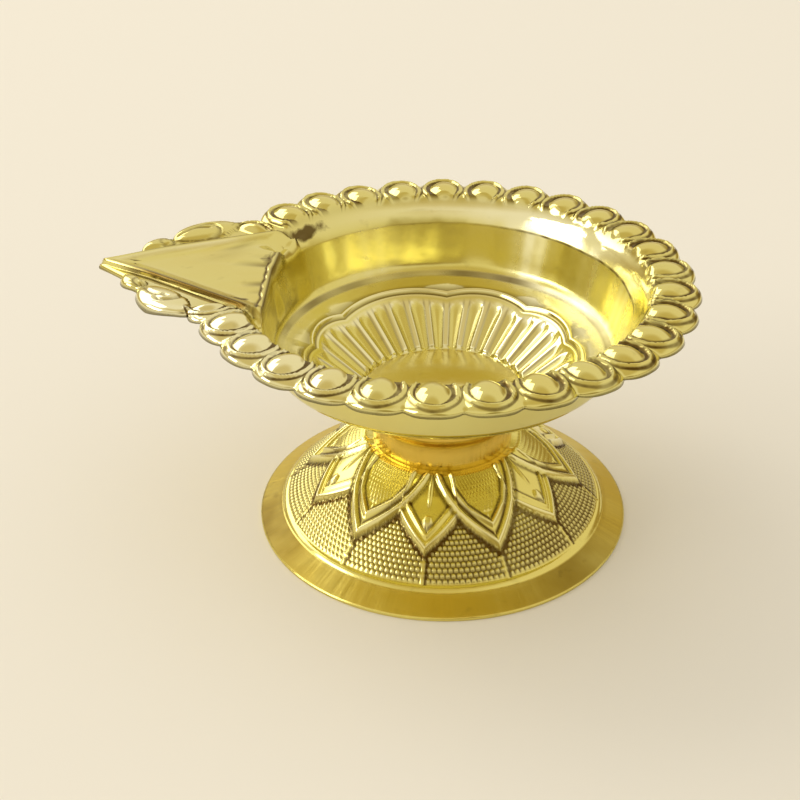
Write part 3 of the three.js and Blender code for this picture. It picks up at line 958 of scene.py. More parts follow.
@dataclass(frozen=True)
class Brass:
    """Brass finish: its colours, its polish and its unevenness, with painted shade and highlights.

    Each pair of numbers says how a mark follows the clouds or spots: their share, and
    what is left without them.
    """

    name: str
    color: Color
    # Dark colour of the painted shade in grooves, creases and edges, and of random dark spots.
    stain_and_shade: Color
    tarnish: Color = (0.10, 0.055, 0.012)
    tarnish_level: float = 0.95
    tarnish_gain: float = 4
    tarnish_strength: float = 0.9
    warm_share: Color = (0.97, 0.9, 0.72)
    warm_clouds: Range = (1.6, -0.56)
    satin_color: Color = (0.76, 0.60, 0.14)
    satin_clouds: Range = (1.2, 0.2)
    # Pale colour for wear and for painted highlights.
    rub_and_glint_color: Color = (0.94, 0.91, 0.60)
    rub_and_glint_clouds: Range = (0.9, 0.35)
    roughness: float = 0.07
    roughness_spread: float = 0.06
    satin_roughness: float = 0.22
    cloud_roughness: float = 0.05
    stain_roughness: float = 0.16
    tarnish_roughness: float = 0.3
    # Strength of the painted shade, and how it follows the clouds.
    shade_darkness: float = 0.55
    shade_clouds: Range = (0.8, 0.5)
    line_spots: Range = (1.4, 0.3)
    spot_level: float = 0.62
    spot_darkness: float = 1.0
    cloud_scale: float = 90
    grain_scale: float = 900
    spot_scale: float = 420
    ripple: float = 0.05
    border_ripple: float = 0.11
    ripple_scale: float = 260
    grain_height: float = 0.01
    marks: float = 0.0
    marks_scale: float = 1500
    marks_round: float = 0.0116
    marks_upward: float = 0.05
    border: Border | None = None

    def make(self) -> bpy.types.Material:
        """Builds the material."""
        material = bpy.data.materials.new(self.name)
        shop = Finisher(material)
        place = shop.coordinates()
        painted_shade = shop.attribute("painted_shade")
        satin = shop.attribute("satin")
        cloud = shop.noise(place, self.cloud_scale, 3)
        grain = shop.noise(place, self.grain_scale, 2)
        spots = shop.noise(place, self.spot_scale, 4)

        def patchy(noise: Wire, shares: Range) -> Wire:
            return noise * shares[0] + shares[1]

        blot = shop.attribute("stain_and_shade") + spots - self.tarnish_level
        blot = (blot * self.tarnish_gain).clamp()
        if self.border is not None:
            lines = self.boss_shade_lines(shop, place, self.border) * shop.attribute("border")
            painted_shade = painted_shade + lines * patchy(spots, self.line_spots)
        # Painted shade: darker along grooves, creases and edges, plus random dark spots.
        stain_and_shade = painted_shade * self.shade_darkness * patchy(cloud, self.shade_clouds)
        stain_and_shade = (stain_and_shade + (spots - self.spot_level).clamp() * self.spot_darkness).clamp()
        # Paler places: partly wear, partly painted highlight.
        rub_and_glint = (shop.attribute("rub_and_glint") * patchy(cloud, self.rub_and_glint_clouds)).clamp()
        dull = (satin * patchy(cloud, self.satin_clouds)).clamp()
        warm = tuple(value * share for value, share in zip(self.color, self.warm_share))
        tone = shop.blend(patchy(cloud, self.warm_clouds).clamp(), self.color, warm)
        tone = shop.blend(dull, tone, self.satin_color)
        tone = shop.blend(rub_and_glint, tone, self.rub_and_glint_color)
        tone = shop.blend(stain_and_shade, tone, self.stain_and_shade)
        tone = shop.blend(blot * self.tarnish_strength, tone, self.tarnish)
        rough = self.roughness + (grain - 0.5) * self.roughness_spread
        rough = rough + stain_and_shade * self.stain_roughness + blot * self.tarnish_roughness
        rough = rough + (cloud - 0.5) * self.cloud_roughness + satin * self.satin_roughness
        ripple = shop.attribute("border") * self.border_ripple + self.ripple
        height = shop.noise(place, self.ripple_scale, 1) * ripple + grain * self.grain_height
        if self.marks:
            height = height + self.mark_height(shop, place) * satin * self.marks
        bump = shop.wire(
            "ShaderNodeBump", {}, {"Height": height, "Distance": METRES, "Strength": 1.0}, "Normal")
        surface = shop.wire(
            "ShaderNodeBsdfPrincipled", {},
            {"Base Color": tone, "Roughness": rough.clamp(), "Metallic": 1.0, "Normal": bump})
        shop.node("ShaderNodeOutputMaterial", {}, {"Surface": surface})
        return material

    def boss_shade_lines(self, shop: Finisher, place: Wire, border: Border) -> Wire:
        """Fine painted shade in the grooves round the border's bosses, and a painted dark
        reflection on each dome.

        Args:
            shop: The material's node tree.
            place: Object coordinates.
            border: The border whose loops the lines follow.

        Returns:
            The lines' strength, from 0 to 1.
        """
        lip = border.lip
        x, y, _ = shop.from_axis(place)
        radius = (x * x + y * y) ** 0.5 / METRES
        turn = y.calc("ARCTAN2", x) * math.degrees(1)
        last = (lip.lobe_count - 1) / 2
        lobe = (turn / lip.lobe_pitch).calc("ROUND").calc("MINIMUM", last).calc("MAXIMUM", -last)
        is_last = lobe.calc("ABSOLUTE").calc("GREATER_THAN", last - 0.5)
        scale = 1 - is_last * (1 - border.last_loop_scale)
        aside = (turn - lobe * lip.lobe_pitch) * math.radians(1) * radius / scale
        along = (radius - border.boss_radius - is_last * border.last_boss_shift) / scale
        inner = (along / -border.loop_half_length).clamp()
        taper = 1 - inner * inner * border.loop_taper
        out = along.calc("MAXIMUM", 0.0) / border.loop_half_length
        side = aside / (taper * border.loop_half_width)
        from_loop = ((out * out + side * side) ** 0.5 - 1) * border.loop_half_width
        swell_out = (along + border.dome_back) / border.dome_half_length
        swell_side = (aside + border.dome_shift) / (taper * border.dome_half_width)
        swell = (swell_out * swell_out + swell_side * swell_side) ** 0.5
        # The painted shade grows wider towards the right of the bowl.
        right = (x / METRES / border.boss_radius).clamp()
        groove = shop.line(from_loop, border.groove_shade, right * border.groove_widening)
        outer = shop.line(from_loop, border.loop_shade, right * border.loop_widening)
        # Painted dark reflection: a crescent on one side of each dome.
        crescent = shop.ramp(swell, *border.crescent_swell)
        crescent = crescent * shop.ramp(from_loop, *border.crescent_edge)
        crescent = crescent * shop.ramp(aside, *border.crescent_side)
        return groove.calc("MAXIMUM", outer).calc("MAXIMUM", crescent)

    def mark_height(self, shop: Finisher, place: Wire) -> Wire:
        """Fine marks that run up the turned or pressed surface."""
        x, y, z = shop.from_axis(place)
        turn = y.calc("ARCTAN2", x)
        spread = shop.wire(
            "ShaderNodeCombineXYZ", {},
            {0: turn * self.marks_round, 1: 0.0, 2: z * self.marks_upward})
        return shop.noise(spread, self.marks_scale, 2)


def dress(piece: bpy.types.Object, finish: Brass, node: Node) -> bpy.types.Object:
    """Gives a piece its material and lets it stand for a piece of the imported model.

    Args:
        piece: The finished piece.
        finish: Its finish.
        node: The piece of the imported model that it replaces.

    Returns:
        The dressed piece.
    """
    piece.data.materials.clear()
    piece.data.materials.append(finish.make())
    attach(piece, Body.LAMP.value)
    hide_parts(node.value)
    return piece


@dataclass
class Bowl:
    """The stamped bowl: rosette floor, rounded wall, border and lip, in millimetres."""

    lip: Lip = field(default_factory=Lip)
    border: Border = field(default_factory=Border)
    step_height: float = 23.3
    scallop_height: float = 30.2
    scallop_radius: float = 22.6
    scallop_depth: float = 0.9
    scallop_cusps: tuple[float, ...] = (-20, 20, 55, 95, 150, 180)
    scallop_lines: tuple[Line, ...] = (Line(-0.2, 0.42, 0.34), Line(-1.15, 0.36, 0.2))
    scallop_groove: Line = Line(-0.7, 0.3, 0.12)
    scallop_end: Range = (-0.1, 0.35)
    # Painted shade beside the petals' outlines, and paler lines on them: partly wear, partly
    # painted highlight.
    scallop_creases: tuple[Line, ...] = (Line(-0.7, 0.3), Line(0.35, 0.3, 0.8))
    scallop_rub_glints: tuple[Line, Line] = (Line(-0.2, 0.36), Line(-1.15, 0.3, 0.7))
    corner_radius: float = 24.9
    corner_foot: float = 30.7
    corner_width: float = 3.2
    corner_height: float = 2.6
    wall_top: float = 39.6
    wall_slope: float = 74.0
    mouth_run: float = 2.0
    sill_calm: float = 0.25
    flute_count: int = 36
    flute_end: float = 1.75
    bar_half_width: float = 0.42
    bar_height: float = 0.3
    bar_edge: Range = (-0.15, 0.3)
    bar_rub_glint_end: Range = (-1.9, -1.5)
    flank_crease: Line = Line(-0.1, 0.3, 0.5)
    flank_end: Range = (-2.2, -1.4)
    field_depth: float = 0.4
    field_hollow: Range = (0.1, 1.1)
    field_edge: Range = (-0.05, 0.3)
    field_satin: float = 0.9
    # A painted dark reflection beside the lip, and a painted highlight on the floor's right side.
    floor_dark_reflection: Patch = Patch((-17.2, 18.2), 1.3, 2.2, 0.85)
    sheen: Stretch = Stretch(46, 34)
    sheen_share: float = 0.7
    band_start: Range = (0.3, 0.6)
    band_share: float = 0.3
    wobble: float = 0.09
    wall_waves: tuple[tuple[float, float, float, float], ...] = (
        (1, 7, 0.12, 0), (0.8, 12, -0.15, 1.3), (0.35, 23, 0.1, 2.1), (0.2, 41, 0, 0.7))
    # Upright streaks of painted highlight on the wall.
    streaks: tuple[Stretch, ...] = (
        Stretch(65, 6, 1.1), Stretch(38, 9, 0.5), Stretch(16, 9, 1.0), Stretch(122, 12, 0.4),
        Stretch(169, 7, 0.5), Stretch(-90, 60, 0.4))
    streak_share: float = 0.85
    streak_waves: tuple[Wave, ...] = ((0.2, 61, 0),)
    wall_satin_share: float = 0.6
    streak_satin_share: float = 0.7
    # Painted highlight along the wall's top bend, and painted shade under it and in the corner at
    # its foot.
    top_glint_level: float = 0.95
    top_glint_start: Range = (80, 120)
    top_glint_waves: tuple[Wave, ...] = ((0.2, 31, 0), (0.15, 53, 2))
    top_shade: Stretch = Stretch(32, 46, 0.8, 4)
    top_shade_least: float = 0.1
    top_shade_waves: tuple[Wave, ...] = ((0.25, 43, 0), (0.2, 71, 2))
    foot_shade: float = 0.5
    foot_shade_waves: tuple[Wave, ...] = ((0.2, 5, 1), (0.12, 17, 0))
    rosette_steps: int = 14
    rosette_margin: float = 2.6
    rosette_offsets: tuple[float, ...] = (
        -2.3, -2.0, -1.7, -1.4, -1.15, -0.95, -0.75, -0.55, -0.38, -0.2, 0, 0.2, 0.45)
    band_radius: float = 23.7
    corner_steps: int = 9
    corner_start: float = 0.12
    wall_shares: tuple[float, ...] = (0.2, 0.4, 0.6, 0.8, 0.91, 0.95, 1.0)
    shade_share: float = 0.95
    sill_offsets: tuple[float, ...] = (0, 0.15, 0.4, 0.65, 0.8, 0.95, 1.1, 1.3)
    sill_room: float = 5.0
    trough_shares: tuple[float, ...] = (0.25, 0.45, 0.6, 0.7, 0.78, 0.85, 0.9, 0.94, 0.97, 1)
    bank_offsets: tuple[float, ...] = (0.05, 0.1, 0.24, 0.32)
    bank_spread: float = 1.6
    border_steps: int = 34
    border_power: float = 1.1
    lip_density: float = 0.6
    finish: Brass = Brass(
        "polished_brass", (0.79, 0.73, 0.28), (0.13, 0.08, 0.015), shade_darkness=1.0,
        satin_color=(0.78, 0.70, 0.20))

    def unevenness(self, turn: Array, height: float) -> Array:
        """Slight upright waves of the thin wall."""
        return self.wobble * waves(turn, [
            (size, count, rise * height + start) for size, count, rise, start in self.wall_waves])

    def wall_streaks(self, turn: Array) -> Array:
        """Upright streaks of painted highlight on the wall, where its finish is also duller."""
        streaks = sum(streak.at(turn) for streak in self.streaks)
        return np.clip(streaks * (self.streak_share + waves(turn, self.streak_waves)), 0, 1)

    def wall_satin(self, turn: Array) -> Array:
        """Share of the duller finish on the wall."""
        return self.wall_satin_share + self.streak_satin_share * self.wall_streaks(turn)

    def top_glint(self, turn: Array) -> Array:
        """Painted highlight along the bend at the wall's top, opposite the lip."""
        ragged = self.top_glint_level + waves(turn, self.top_glint_waves)
        return smooth(from_lip(turn), *self.top_glint_start) * ragged

    def top_shade_line(self, turn: Array) -> Array:
        """Uneven painted shade just under the wall's bend, strongest at the far right."""
        shade = self.top_shade.at(turn) + self.top_shade_least
        return (1 + waves(turn, self.top_shade_waves)) * shade

    def foot_crease(self, turn: Array) -> Array:
        """Uneven painted shade in the corner at the wall's foot."""
        return self.foot_shade + waves(turn, self.foot_shade_waves)

    def band_rub_and_glint(self, turn: Array) -> Array:
        """Paler band between rosette and wall, with painted highlight on its right side."""
        return self.sheen.at(turn) + self.band_share

    def scallop(self, turn: Array) -> Array:
        """Radius of the petals' outline round the rosette."""
        angle = 180 - from_lip(turn)
        cusps = np.array(self.scallop_cusps)
        place = np.clip(np.searchsorted(cusps, angle, side="right"), 1, len(cusps) - 1)
        share = (angle - cusps[place - 1]) / (cusps[place] - cusps[place - 1])
        return self.scallop_radius - self.scallop_depth * (2 * share - 1) ** 2

    def flute(self, radius: Array, turn: Array) -> tuple[Array, Array]:
        """Distance outside the nearest flute's sides, and inside its whole outline."""
        pitch = 2 * math.pi / self.flute_count
        aside = np.abs(np.mod(turn + pitch / 2, pitch) - pitch / 2) * radius
        half = pitch / 2 * radius - self.bar_half_width
        beyond = np.maximum(radius - (self.scallop(turn) - self.flute_end - half), 0)
        return aside - half, half - np.hypot(aside, beyond)

    def floor_slope(self) -> float:
        """Climb of the rosette, in radians."""
        run = self.scallop_radius - LEVELS.seat_radius
        return math.atan2(self.scallop_height - self.step_height, run)

    def floor_height(self, radius: Array, turn: Array) -> Array:
        """Height of the rosette and of the plain band outside it."""
        plain = np.interp(
            radius, [LEVELS.seat_radius, self.scallop_radius, self.corner_radius],
            [self.step_height, self.scallop_height, self.corner_foot])
        inside = self.flute(radius, turn)[1]
        edge = radius - self.scallop(turn)
        bars = self.bar_height * (1 - smooth(inside, *self.bar_edge))
        hollow = self.field_depth * smooth(inside, *self.field_hollow)
        pressed = bars - hollow - self.scallop_groove.at(edge)
        lines = sum(line.at(edge) for line in self.scallop_lines)
        return plain + pressed * (1 - smooth(edge, *self.scallop_end)) + lines

    def in_field(self, radius: Array, turn: Array) -> Array:
        """Share of the fields between the rosette's bars."""
        return smooth(self.flute(radius, turn)[1], *self.field_edge)

    def floor_satin(self, radius: Array, turn: Array) -> Array:
        """Share of the duller finish on the rosette's fields, less on the right under the painted
        highlight.
        """
        sheen = self.sheen_share * self.sheen.at(turn)
        return self.field_satin * self.in_field(radius, turn) * (1 - sheen)

    def floor_rub_and_glint(self, radius: Array, turn: Array) -> Array:
        """Share of the paler bars and outlines of the rosette: partly wear, partly painted
        highlight, most on the right.
        """
        edge = radius - self.scallop(turn)
        lines = np.maximum(*(line.at(edge) for line in self.scallop_rub_glints))
        bars = 1 - self.in_field(radius, turn) + self.sheen_share * self.sheen.at(turn)
        bars = bars * (1 - smooth(edge, *self.bar_rub_glint_end))
        return np.maximum(bars, lines) + self.band_rub_and_glint(turn) * smooth(edge, *self.band_start)

    def painted_floor_reflection(self, radius: Array, turn: Array) -> Array:
        """Painted dark reflection in the corner beside the lip, laid on as tarnish."""
        return self.floor_dark_reflection.at(radius * np.cos(turn), radius * np.sin(turn))

    def floor_crease(self, radius: Array, turn: Array) -> Array:
        """Painted shade at the feet of the rosette's bars and outlines."""
        edge = radius - self.scallop(turn)
        flank = self.flank_crease.at(self.flute(radius, turn)[0])
        flank = flank * (1 - smooth(edge, *self.flank_end))
        return flank + sum(line.at(edge) for line in self.scallop_creases)

    def rosette_ring(self, radius_at: Mask, backed: bool) -> SheetRing:
        """Ring of the rosette.

        Args:
            radius_at: The ring's radius, which differs round the axis.
            backed: Whether the back has a ring there.

        Returns:
            The ring, with its place and its marks.
        """
        def place(turn: Array) -> tuple[Array, Array]:
            radius = radius_at(turn)
            return radius, self.floor_height(radius, turn)

        return SheetRing(
            place, leaning(self.floor_slope()), backed,
            painted_shade=lambda turn: self.floor_crease(radius_at(turn), turn),
            satin=lambda turn: self.floor_satin(radius_at(turn), turn),
            stain_and_shade=lambda turn: self.painted_floor_reflection(radius_at(turn), turn),
            rub_and_glint=lambda turn: self.floor_rub_and_glint(radius_at(turn), turn))

    def floor_rings(self) -> list[SheetRing]:
        """Rings from the rivet's hole over the seat, the rosette and the plain band."""
        dimple_end = LEVELS.head_room + LEVELS.dimple_run
        corner = steady(math.sin(self.floor_slope()), -1)
        rings = [
            SheetRing(steady(LEVELS.shank_hole, LEVELS.dimple), STRAIGHT_DOWN),
            SheetRing(steady(LEVELS.head_room, LEVELS.dimple), STRAIGHT_DOWN),
            SheetRing(steady(dimple_end, LEVELS.seat), STRAIGHT_DOWN),
            SheetRing(steady(LEVELS.seat_radius, LEVELS.seat), corner),
        ]
        for step, share in enumerate(np.linspace(0, 1, self.rosette_steps)):
            rings.append(self.rosette_ring(
                lambda turn, share=share: mix(
                    LEVELS.seat_radius, self.scallop(turn) - self.rosette_margin, share),
                step % 4 == 0))
        for step, offset in enumerate(self.rosette_offsets):
            rings.append(self.rosette_ring(
                lambda turn, offset=offset: self.scallop(turn) + offset, step % 4 == 2))
        rings.append(self.rosette_ring(lambda turn: self.band_radius + 0 * turn, False))
        return rings

    def wall_rings(self) -> list[SheetRing]:
        """Rings over the rounded corner and the wall, to the sharp bend at its top."""
        slope = math.radians(self.wall_slope)
        foot_radius = self.corner_radius + self.corner_width * math.sin(slope)
        foot = self.corner_foot + self.corner_height * (1 - math.cos(slope))

        def wall(radius: float, height: float) -> Pair:
            share = float(smooth(np.array(height), self.corner_foot, foot + self.mouth_run))

            def place(turn: Array) -> tuple[Array, Array]:
                calm = mix(self.sill_calm, 1, self.lip.gutter(turn))
                wave = self.unevenness(turn, height) * share * calm
                mouth = self.lip.mouth(radius, turn, self.wall_top - height)
                return mix(radius, mouth, share) + wave, height + 0 * turn

            return place

        rings = []
        for step, bend in enumerate(np.linspace(self.corner_start, slope, self.corner_steps)):
            radius = self.corner_radius + self.corner_width * math.sin(bend)
            height = self.corner_foot + self.corner_height * (1 - math.cos(bend))
            rings.append(SheetRing(
                wall(radius, height), leaning(bend), step % 2 == 0, satin=self.wall_satin,
                painted_shade=self.foot_crease if 1 < step < 5 else None,
                rub_and_glint=self.wall_streaks if step > 4 else self.band_rub_and_glint))
        for step, share in enumerate(self.wall_shares):
            radius = mix(foot_radius, self.lip.wall_top_radius, share)
            height = mix(foot, self.wall_top, share)
            rings.append(SheetRing(
                wall(radius, height), leaning(slope), step in (2, 6), satin=self.wall_satin,
                painted_shade=self.top_shade_line if share == self.shade_share else None,
                rub_and_glint=self.top_glint if share == 1 else self.wall_streaks))
        return rings

    def border_radii(self, turn: Array) -> list[tuple[Array, bool]]:
        """Radii of the border's rings, each with whether the back has a ring there."""
        lip = self.lip
        mouth = lip.mouth(lip.gutter_radius, turn)
        bank = lip.bank(turn)
        outline = lip.outline(turn)
        close = np.minimum((bank - mouth) / self.sill_room, 1)
        radii = [(mouth + offset * close, offset == 0) for offset in self.sill_offsets]
        start = radii[-1][0]
        radii += [(mix(start, bank, share), share in (0.6, 1)) for share in self.trough_shares]
        spread = mix(1, self.bank_spread, lip.side(turn))
        radii += [(bank + offset * spread, False) for offset in self.bank_offsets]
        start = radii[-1][0]
        shares = np.linspace(0, 1, self.border_steps + 1)[1:] ** self.border_power
        radii += [
            (mix(start, outline, share), index % 4 == 3) for index, share in enumerate(shares)]
        return radii

    def border_ring(self, index: int, backed: bool) -> SheetRing:
        """Ring of the border, counted outwards from the mouth.

        Args:
            index: The ring's number.
            backed: Whether the back has a ring there.

        Returns:
            The ring, with its place and its marks.
        """
        slope = math.atan2(self.border.gutter_drop, self.lip.flange_radius - self.lip.gutter_radius)
        last = len(self.sill_offsets) + len(self.trough_shares) - 1

        def radius_at(turn: Array) -> Array:
            return self.border_radii(turn)[index][0]

        def place(turn: Array) -> tuple[Array, Array]:
            radius = radius_at(turn)
            return radius, self.border.height(radius, turn)

        def inward(turn: Array) -> tuple[Array, Array]:
            share = self.lip.gutter(turn)
            if index > last:
                return 0 * turn, 0 * turn - 1
            if index == last:
                return share * math.tan(slope / 2), 0 * turn - 1
            corner = 1 - share if index == 0 else 0
            return corner + share * math.sin(slope), mix(-1, -math.cos(slope), share)

        return SheetRing(
            place, inward, backed,
            painted_shade=lambda turn: self.border.painted_shade(radius_at(turn), turn),
            stain_and_shade=lambda turn: self.border.stain_and_shade(radius_at(turn), turn),
            border=lambda turn: self.border.bossed(radius_at(turn), turn),
            rub_and_glint=lambda turn: self.border.rub_and_highlight(radius_at(turn), turn))

    def build(self) -> list[bpy.types.Object]:
        """Builds the bowl's sheet and dresses it."""
        border_rings = [
            self.border_ring(index, backed)
            for index, (_, backed) in enumerate(self.border_radii(np.zeros(1)))]
        rings = self.floor_rings() + self.wall_rings() + border_rings
        sheet = StampedSheet("bowl_sheet", rings, lip_density=self.lip_density).build()
        finish = replace(self.finish, border=self.border)
        return [dress(sheet, finish, Node.BOWL)]


@dataclass
class Petals:
    """How points of the foot lie to its petals: distances outside an outline, and shares."""

    outer: Array
    inner: Array
    behind: Array
    diamond: Array
    beside: Array
    in_large: Array
    in_small: Array
    in_petal: Array
    in_field: Array
    ridged: Array
    ground: Array
    dots: Array
    pearl: Array
    vein: Array


@dataclass
class Foot:
    """The stamped foot: lotus relief, dotted ground, raised line and brim, in millimetres."""

    radius: float = 31.25
    edge_height: float = 0.5
    edge_round: float = 0.08
    edge_start: float = 0.06
    edge_way: Point = (-2.2, -0.6)
    land_width: float = 0.95
    brim_radius: float = 27.0
    brim_height: float = 2.5
    crown_flat: float = 11.2
    crown_radius: float = 12.3
    crown_fade: float = 0.8
    dome_bulge: float = 0.6
    petal_pitch: float = 60
    large_outline: tuple[Point, ...] = (
        (0, 23.3), (15, 18.7), (21, 16.5), (26, 14.5), (30, 12.5))
    large_inner: tuple[Point, ...] = ((0, 20.3), (10, 17.8), (15, 15.8), (17, 13), (30, 5))
    small_outline: tuple[Point, ...] = ((0, 23.1), (15, 18.7), (30, 14))
    small_inner: tuple[Point, ...] = ((0, 21.2), (6, 19.2), (30, 11.5))
    petal_relief: float = 0.62
    petal_edge: Range = (-0.15, 0.2)
    large_rim: Line = Line(-0.6, 0.68, 0.52)
    inner_rim: Line = Line(0, 0.5, 0.52)
    small_rim: Line = Line(-0.45, 0.5, 0.468)
    diamond_rim: Line = Line(0, 0.4, 0.416)
    # Painted shade beside and in the petals' outlines, in their grooves and beside the tips.
    large_shade: Line = Line(0.3, 0.5, 1.3)
    large_shade_cover: float = 0.5
    small_shade: Line = Line(0.3, 0.45)
    large_groove: Line = Line(-1.4, 0.42, 1.1)
    inner_groove: Line = Line(-0.6, 0.36)
    diamond_groove: Line = Line(-0.5, 0.32, 0.8)
    tip_shade: Line = Line(0.5, 0.4)
    # Paler rims: partly wear, partly painted highlight.
    large_rub_glint: Line = Line(-0.6, 0.6)
    small_rub_glint: Line = Line(-0.45, 0.45)
    inner_rub_glint: Line = Line(0, 0.4, 0.8)
    field_edge: Range = (0.7, 1.1)
    field_depth: float = 0.2
    field_dots: float = 0.7
    pearl_radius: float = 19.6
    pearl_half_width: float = 0.75
    pearl_half_length: float = 1.05
    pearl_height: float = 0.5
    pearl_rub_glint: float = 0.7
    vein_line: Line = Line(0, 0.4)
    vein_height: float = 0.3
    vein_end: Range = (16.5, 18)
    tip_ridge: Line = Line(0, 0.42)
    tip_ridge_height: float = 0.28
    tip_ridge_start: Range = (22.4, 23.2)
    ground_end: Range = (26.0, 26.4)
    stipple_height: float = 0.3
    stipple_pitch: float = 0.65
    stipple_turn: float = 2.0
    stipple_power: float = 1.3
    stipple_rub_glint: float = 0.45
    # Painted shade between the dots, deepest at the front right.
    ground_shade: float = 0.7
    near_ground: Stretch = Stretch(-48, 38, 0.5)
    rub_glint_strength: float = 0.75
    brim_shades: tuple[Stretch, ...] = (Stretch(-35, 28, 0.58), Stretch(205, 36, 0.83))
    petal_rings: tuple[float, float, int] = (12.55, 18.4, 20)
    ground_rings: tuple[float, float, int] = (18.55, 26.4, 49)
    line_rings: tuple[Point, ...] = (
        (26.55, 0.1), (26.75, 0.26), (26.95, 0.34), (27.15, 0.28), (27.35, 0.1))
    brim_rings: tuple[float, ...] = (27.6, 28.3, 29.1, 29.9, 30.6, 31.0)
    finish: Brass = Brass(
        "pressed_brass", (0.80, 0.72, 0.23), (0.10, 0.055, 0.01), roughness=0.12,
        satin_color=(0.72, 0.54, 0.08), shade_darkness=1.05, marks=0.12)

    def dome_height(self, radius: Array) -> Array:
        """Height of the plain dome under the relief."""
        share = (radius - self.crown_radius) / (self.brim_radius - self.crown_radius)
        bulge = 4 * self.dome_bulge * share * (1 - share)
        return mix(LEVELS.foot_top, self.brim_height, share) + bulge

    def from_line(self, line: tuple[Point, ...], angle: Array, radius: Array) -> Array:
        """Distance of points outside a line given by angle and radius, below zero inside it."""
        angles, radii = zip(*line)
        here = np.interp(angle, angles, radii)
        step = np.interp(angle + 0.5, angles, radii) - np.interp(angle - 0.5, angles, radii)
        slope = step / np.radians(1) / np.maximum(here, 1)
        return (radius - here) / np.sqrt(1 + slope * slope)

    def stipple(self, radius: Array, degrees: Array) -> Array:
        """Rows of small dots, each row set half a step from the next."""
        row = (self.brim_radius - radius) / self.stipple_pitch
        shift = np.where(np.mod(np.floor(row), 2) > 0.5, 0.5, 0)
        column = np.mod(degrees / self.stipple_turn + shift, 1) - 0.5
        across = np.mod(row, 1) - 0.5
        return self.stipple_height * np.cos(math.pi * column) * np.cos(math.pi * across)

    def petals(self, radius: Array, turn: Array) -> Petals:
        """Works out how points lie to the petals, the ground between them and the dots.

        Args:
            radius: Radius of each point.
            turn: Turn of each point.

        Returns:
            The distances and shares.
        """
        degrees = np.degrees(turn)
        half = self.petal_pitch / 2
        from_large = np.mod(degrees + half, self.petal_pitch) - half
        from_small = np.mod(degrees, self.petal_pitch) - half
        large = np.abs(from_large)
        small = half - large
        outer = self.from_line(self.large_outline, large, radius)
        inner = self.from_line(self.large_inner, large, radius)
        behind = self.from_line(self.small_outline, small, radius)
        diamond = self.from_line(self.small_inner, small, radius)
        beside = np.radians(np.where(large < small, from_large, from_small)) * radius
        in_large = smooth(-outer, *self.petal_edge)
        in_small = smooth(-behind, *self.petal_edge) * (1 - in_large)
        in_petal = np.maximum(in_large, in_small)
        in_field = smooth(-inner, *self.field_edge) * in_large
        ridged = self.tip_ridge.at(beside) * smooth(radius, *self.tip_ridge_start)
        ground = (1 - in_petal) * (1 - ridged) * (1 - smooth(radius, *self.ground_end))
        aside = np.radians(small) * radius
        pearl = dome(
            aside / self.pearl_half_width, (radius - self.pearl_radius) / self.pearl_half_length)
        vein = self.vein_line.at(aside) * (1 - smooth(radius, *self.vein_end))
        return Petals(
            outer, inner, behind, diamond, beside, in_large, in_small, in_petal, in_field,
            ridged, ground, self.stipple(radius, degrees), pearl, vein)

    def relief(self, radius: Array, turn: Array) -> Array:
        """Height that the petals, the tips' ridges and the dotted ground add to the dome."""
        lotus = self.petals(radius, turn)
        relief = self.petal_relief * lotus.in_petal + self.large_rim.at(lotus.outer)
        relief = relief + self.inner_rim.at(lotus.inner) * lotus.in_large
        relief = relief + self.small_rim.at(lotus.behind) * (1 - lotus.in_large)
        relief = relief + self.diamond_rim.at(lotus.diamond) * lotus.in_small
        relief = relief + (self.field_dots * lotus.dots - self.field_depth) * lotus.in_field
        middle = self.pearl_height * lotus.pearl + self.vein_height * lotus.vein
        relief = relief + middle * lotus.in_small
        relief = relief + self.tip_ridge_height * lotus.ridged * (1 - lotus.in_petal)
        return relief + lotus.dots * lotus.ground

    def painted_shade(self, radius: Array, turn: Array) -> Array:
        """Share of the painted shade round and in the petals, and between the dots, most at the
        front right.
        """
        lotus = self.petals(radius, turn)
        outside = 1 - lotus.in_petal
        painted_shade = self.large_shade.at(lotus.outer) * (1 - lotus.in_petal * self.large_shade_cover)
        painted_shade = painted_shade + self.small_shade.at(lotus.behind) * outside
        painted_shade = painted_shade + self.large_groove.at(lotus.outer)
        painted_shade = painted_shade + self.inner_groove.at(lotus.inner) * lotus.in_large
        painted_shade = painted_shade + self.diamond_groove.at(lotus.diamond) * lotus.in_small
        tip = self.tip_shade.at(lotus.beside) * smooth(radius, *self.tip_ridge_start)
        painted_shade = painted_shade + tip * outside
        between = lotus.ground * (1 - lotus.dots / self.stipple_height) ** self.stipple_power
        painted_shade = painted_shade + between * (self.ground_shade + self.near_ground.at(turn))
        return np.clip(painted_shade, 0, 1)

    def rub_and_glint(self, radius: Array, turn: Array) -> Array:
        """Share of the paler rims, pearls and dots: partly wear, partly painted highlight."""
        lotus = self.petals(radius, turn)
        small = self.small_rub_glint.at(lotus.behind) * (1 - lotus.in_large)
        rims = np.maximum(self.large_rub_glint.at(lotus.outer), small)
        middle = self.inner_rub_glint.at(lotus.inner) * lotus.in_large
        middle = middle + self.pearl_rub_glint * lotus.pearl * lotus.in_small
        dots = self.stipple_rub_glint * lotus.ground * lotus.dots / self.stipple_height
        rub_and_highlight = np.maximum(np.maximum(rims, middle), dots)
        return np.clip(self.rub_glint_strength * rub_and_highlight, 0, 1)

    def brim_shade(self, turn: Array) -> Array:
        """Painted shade on stretches of the brim, on both sides of its front."""
        return sum(shade.at(turn) for shade in self.brim_shades)

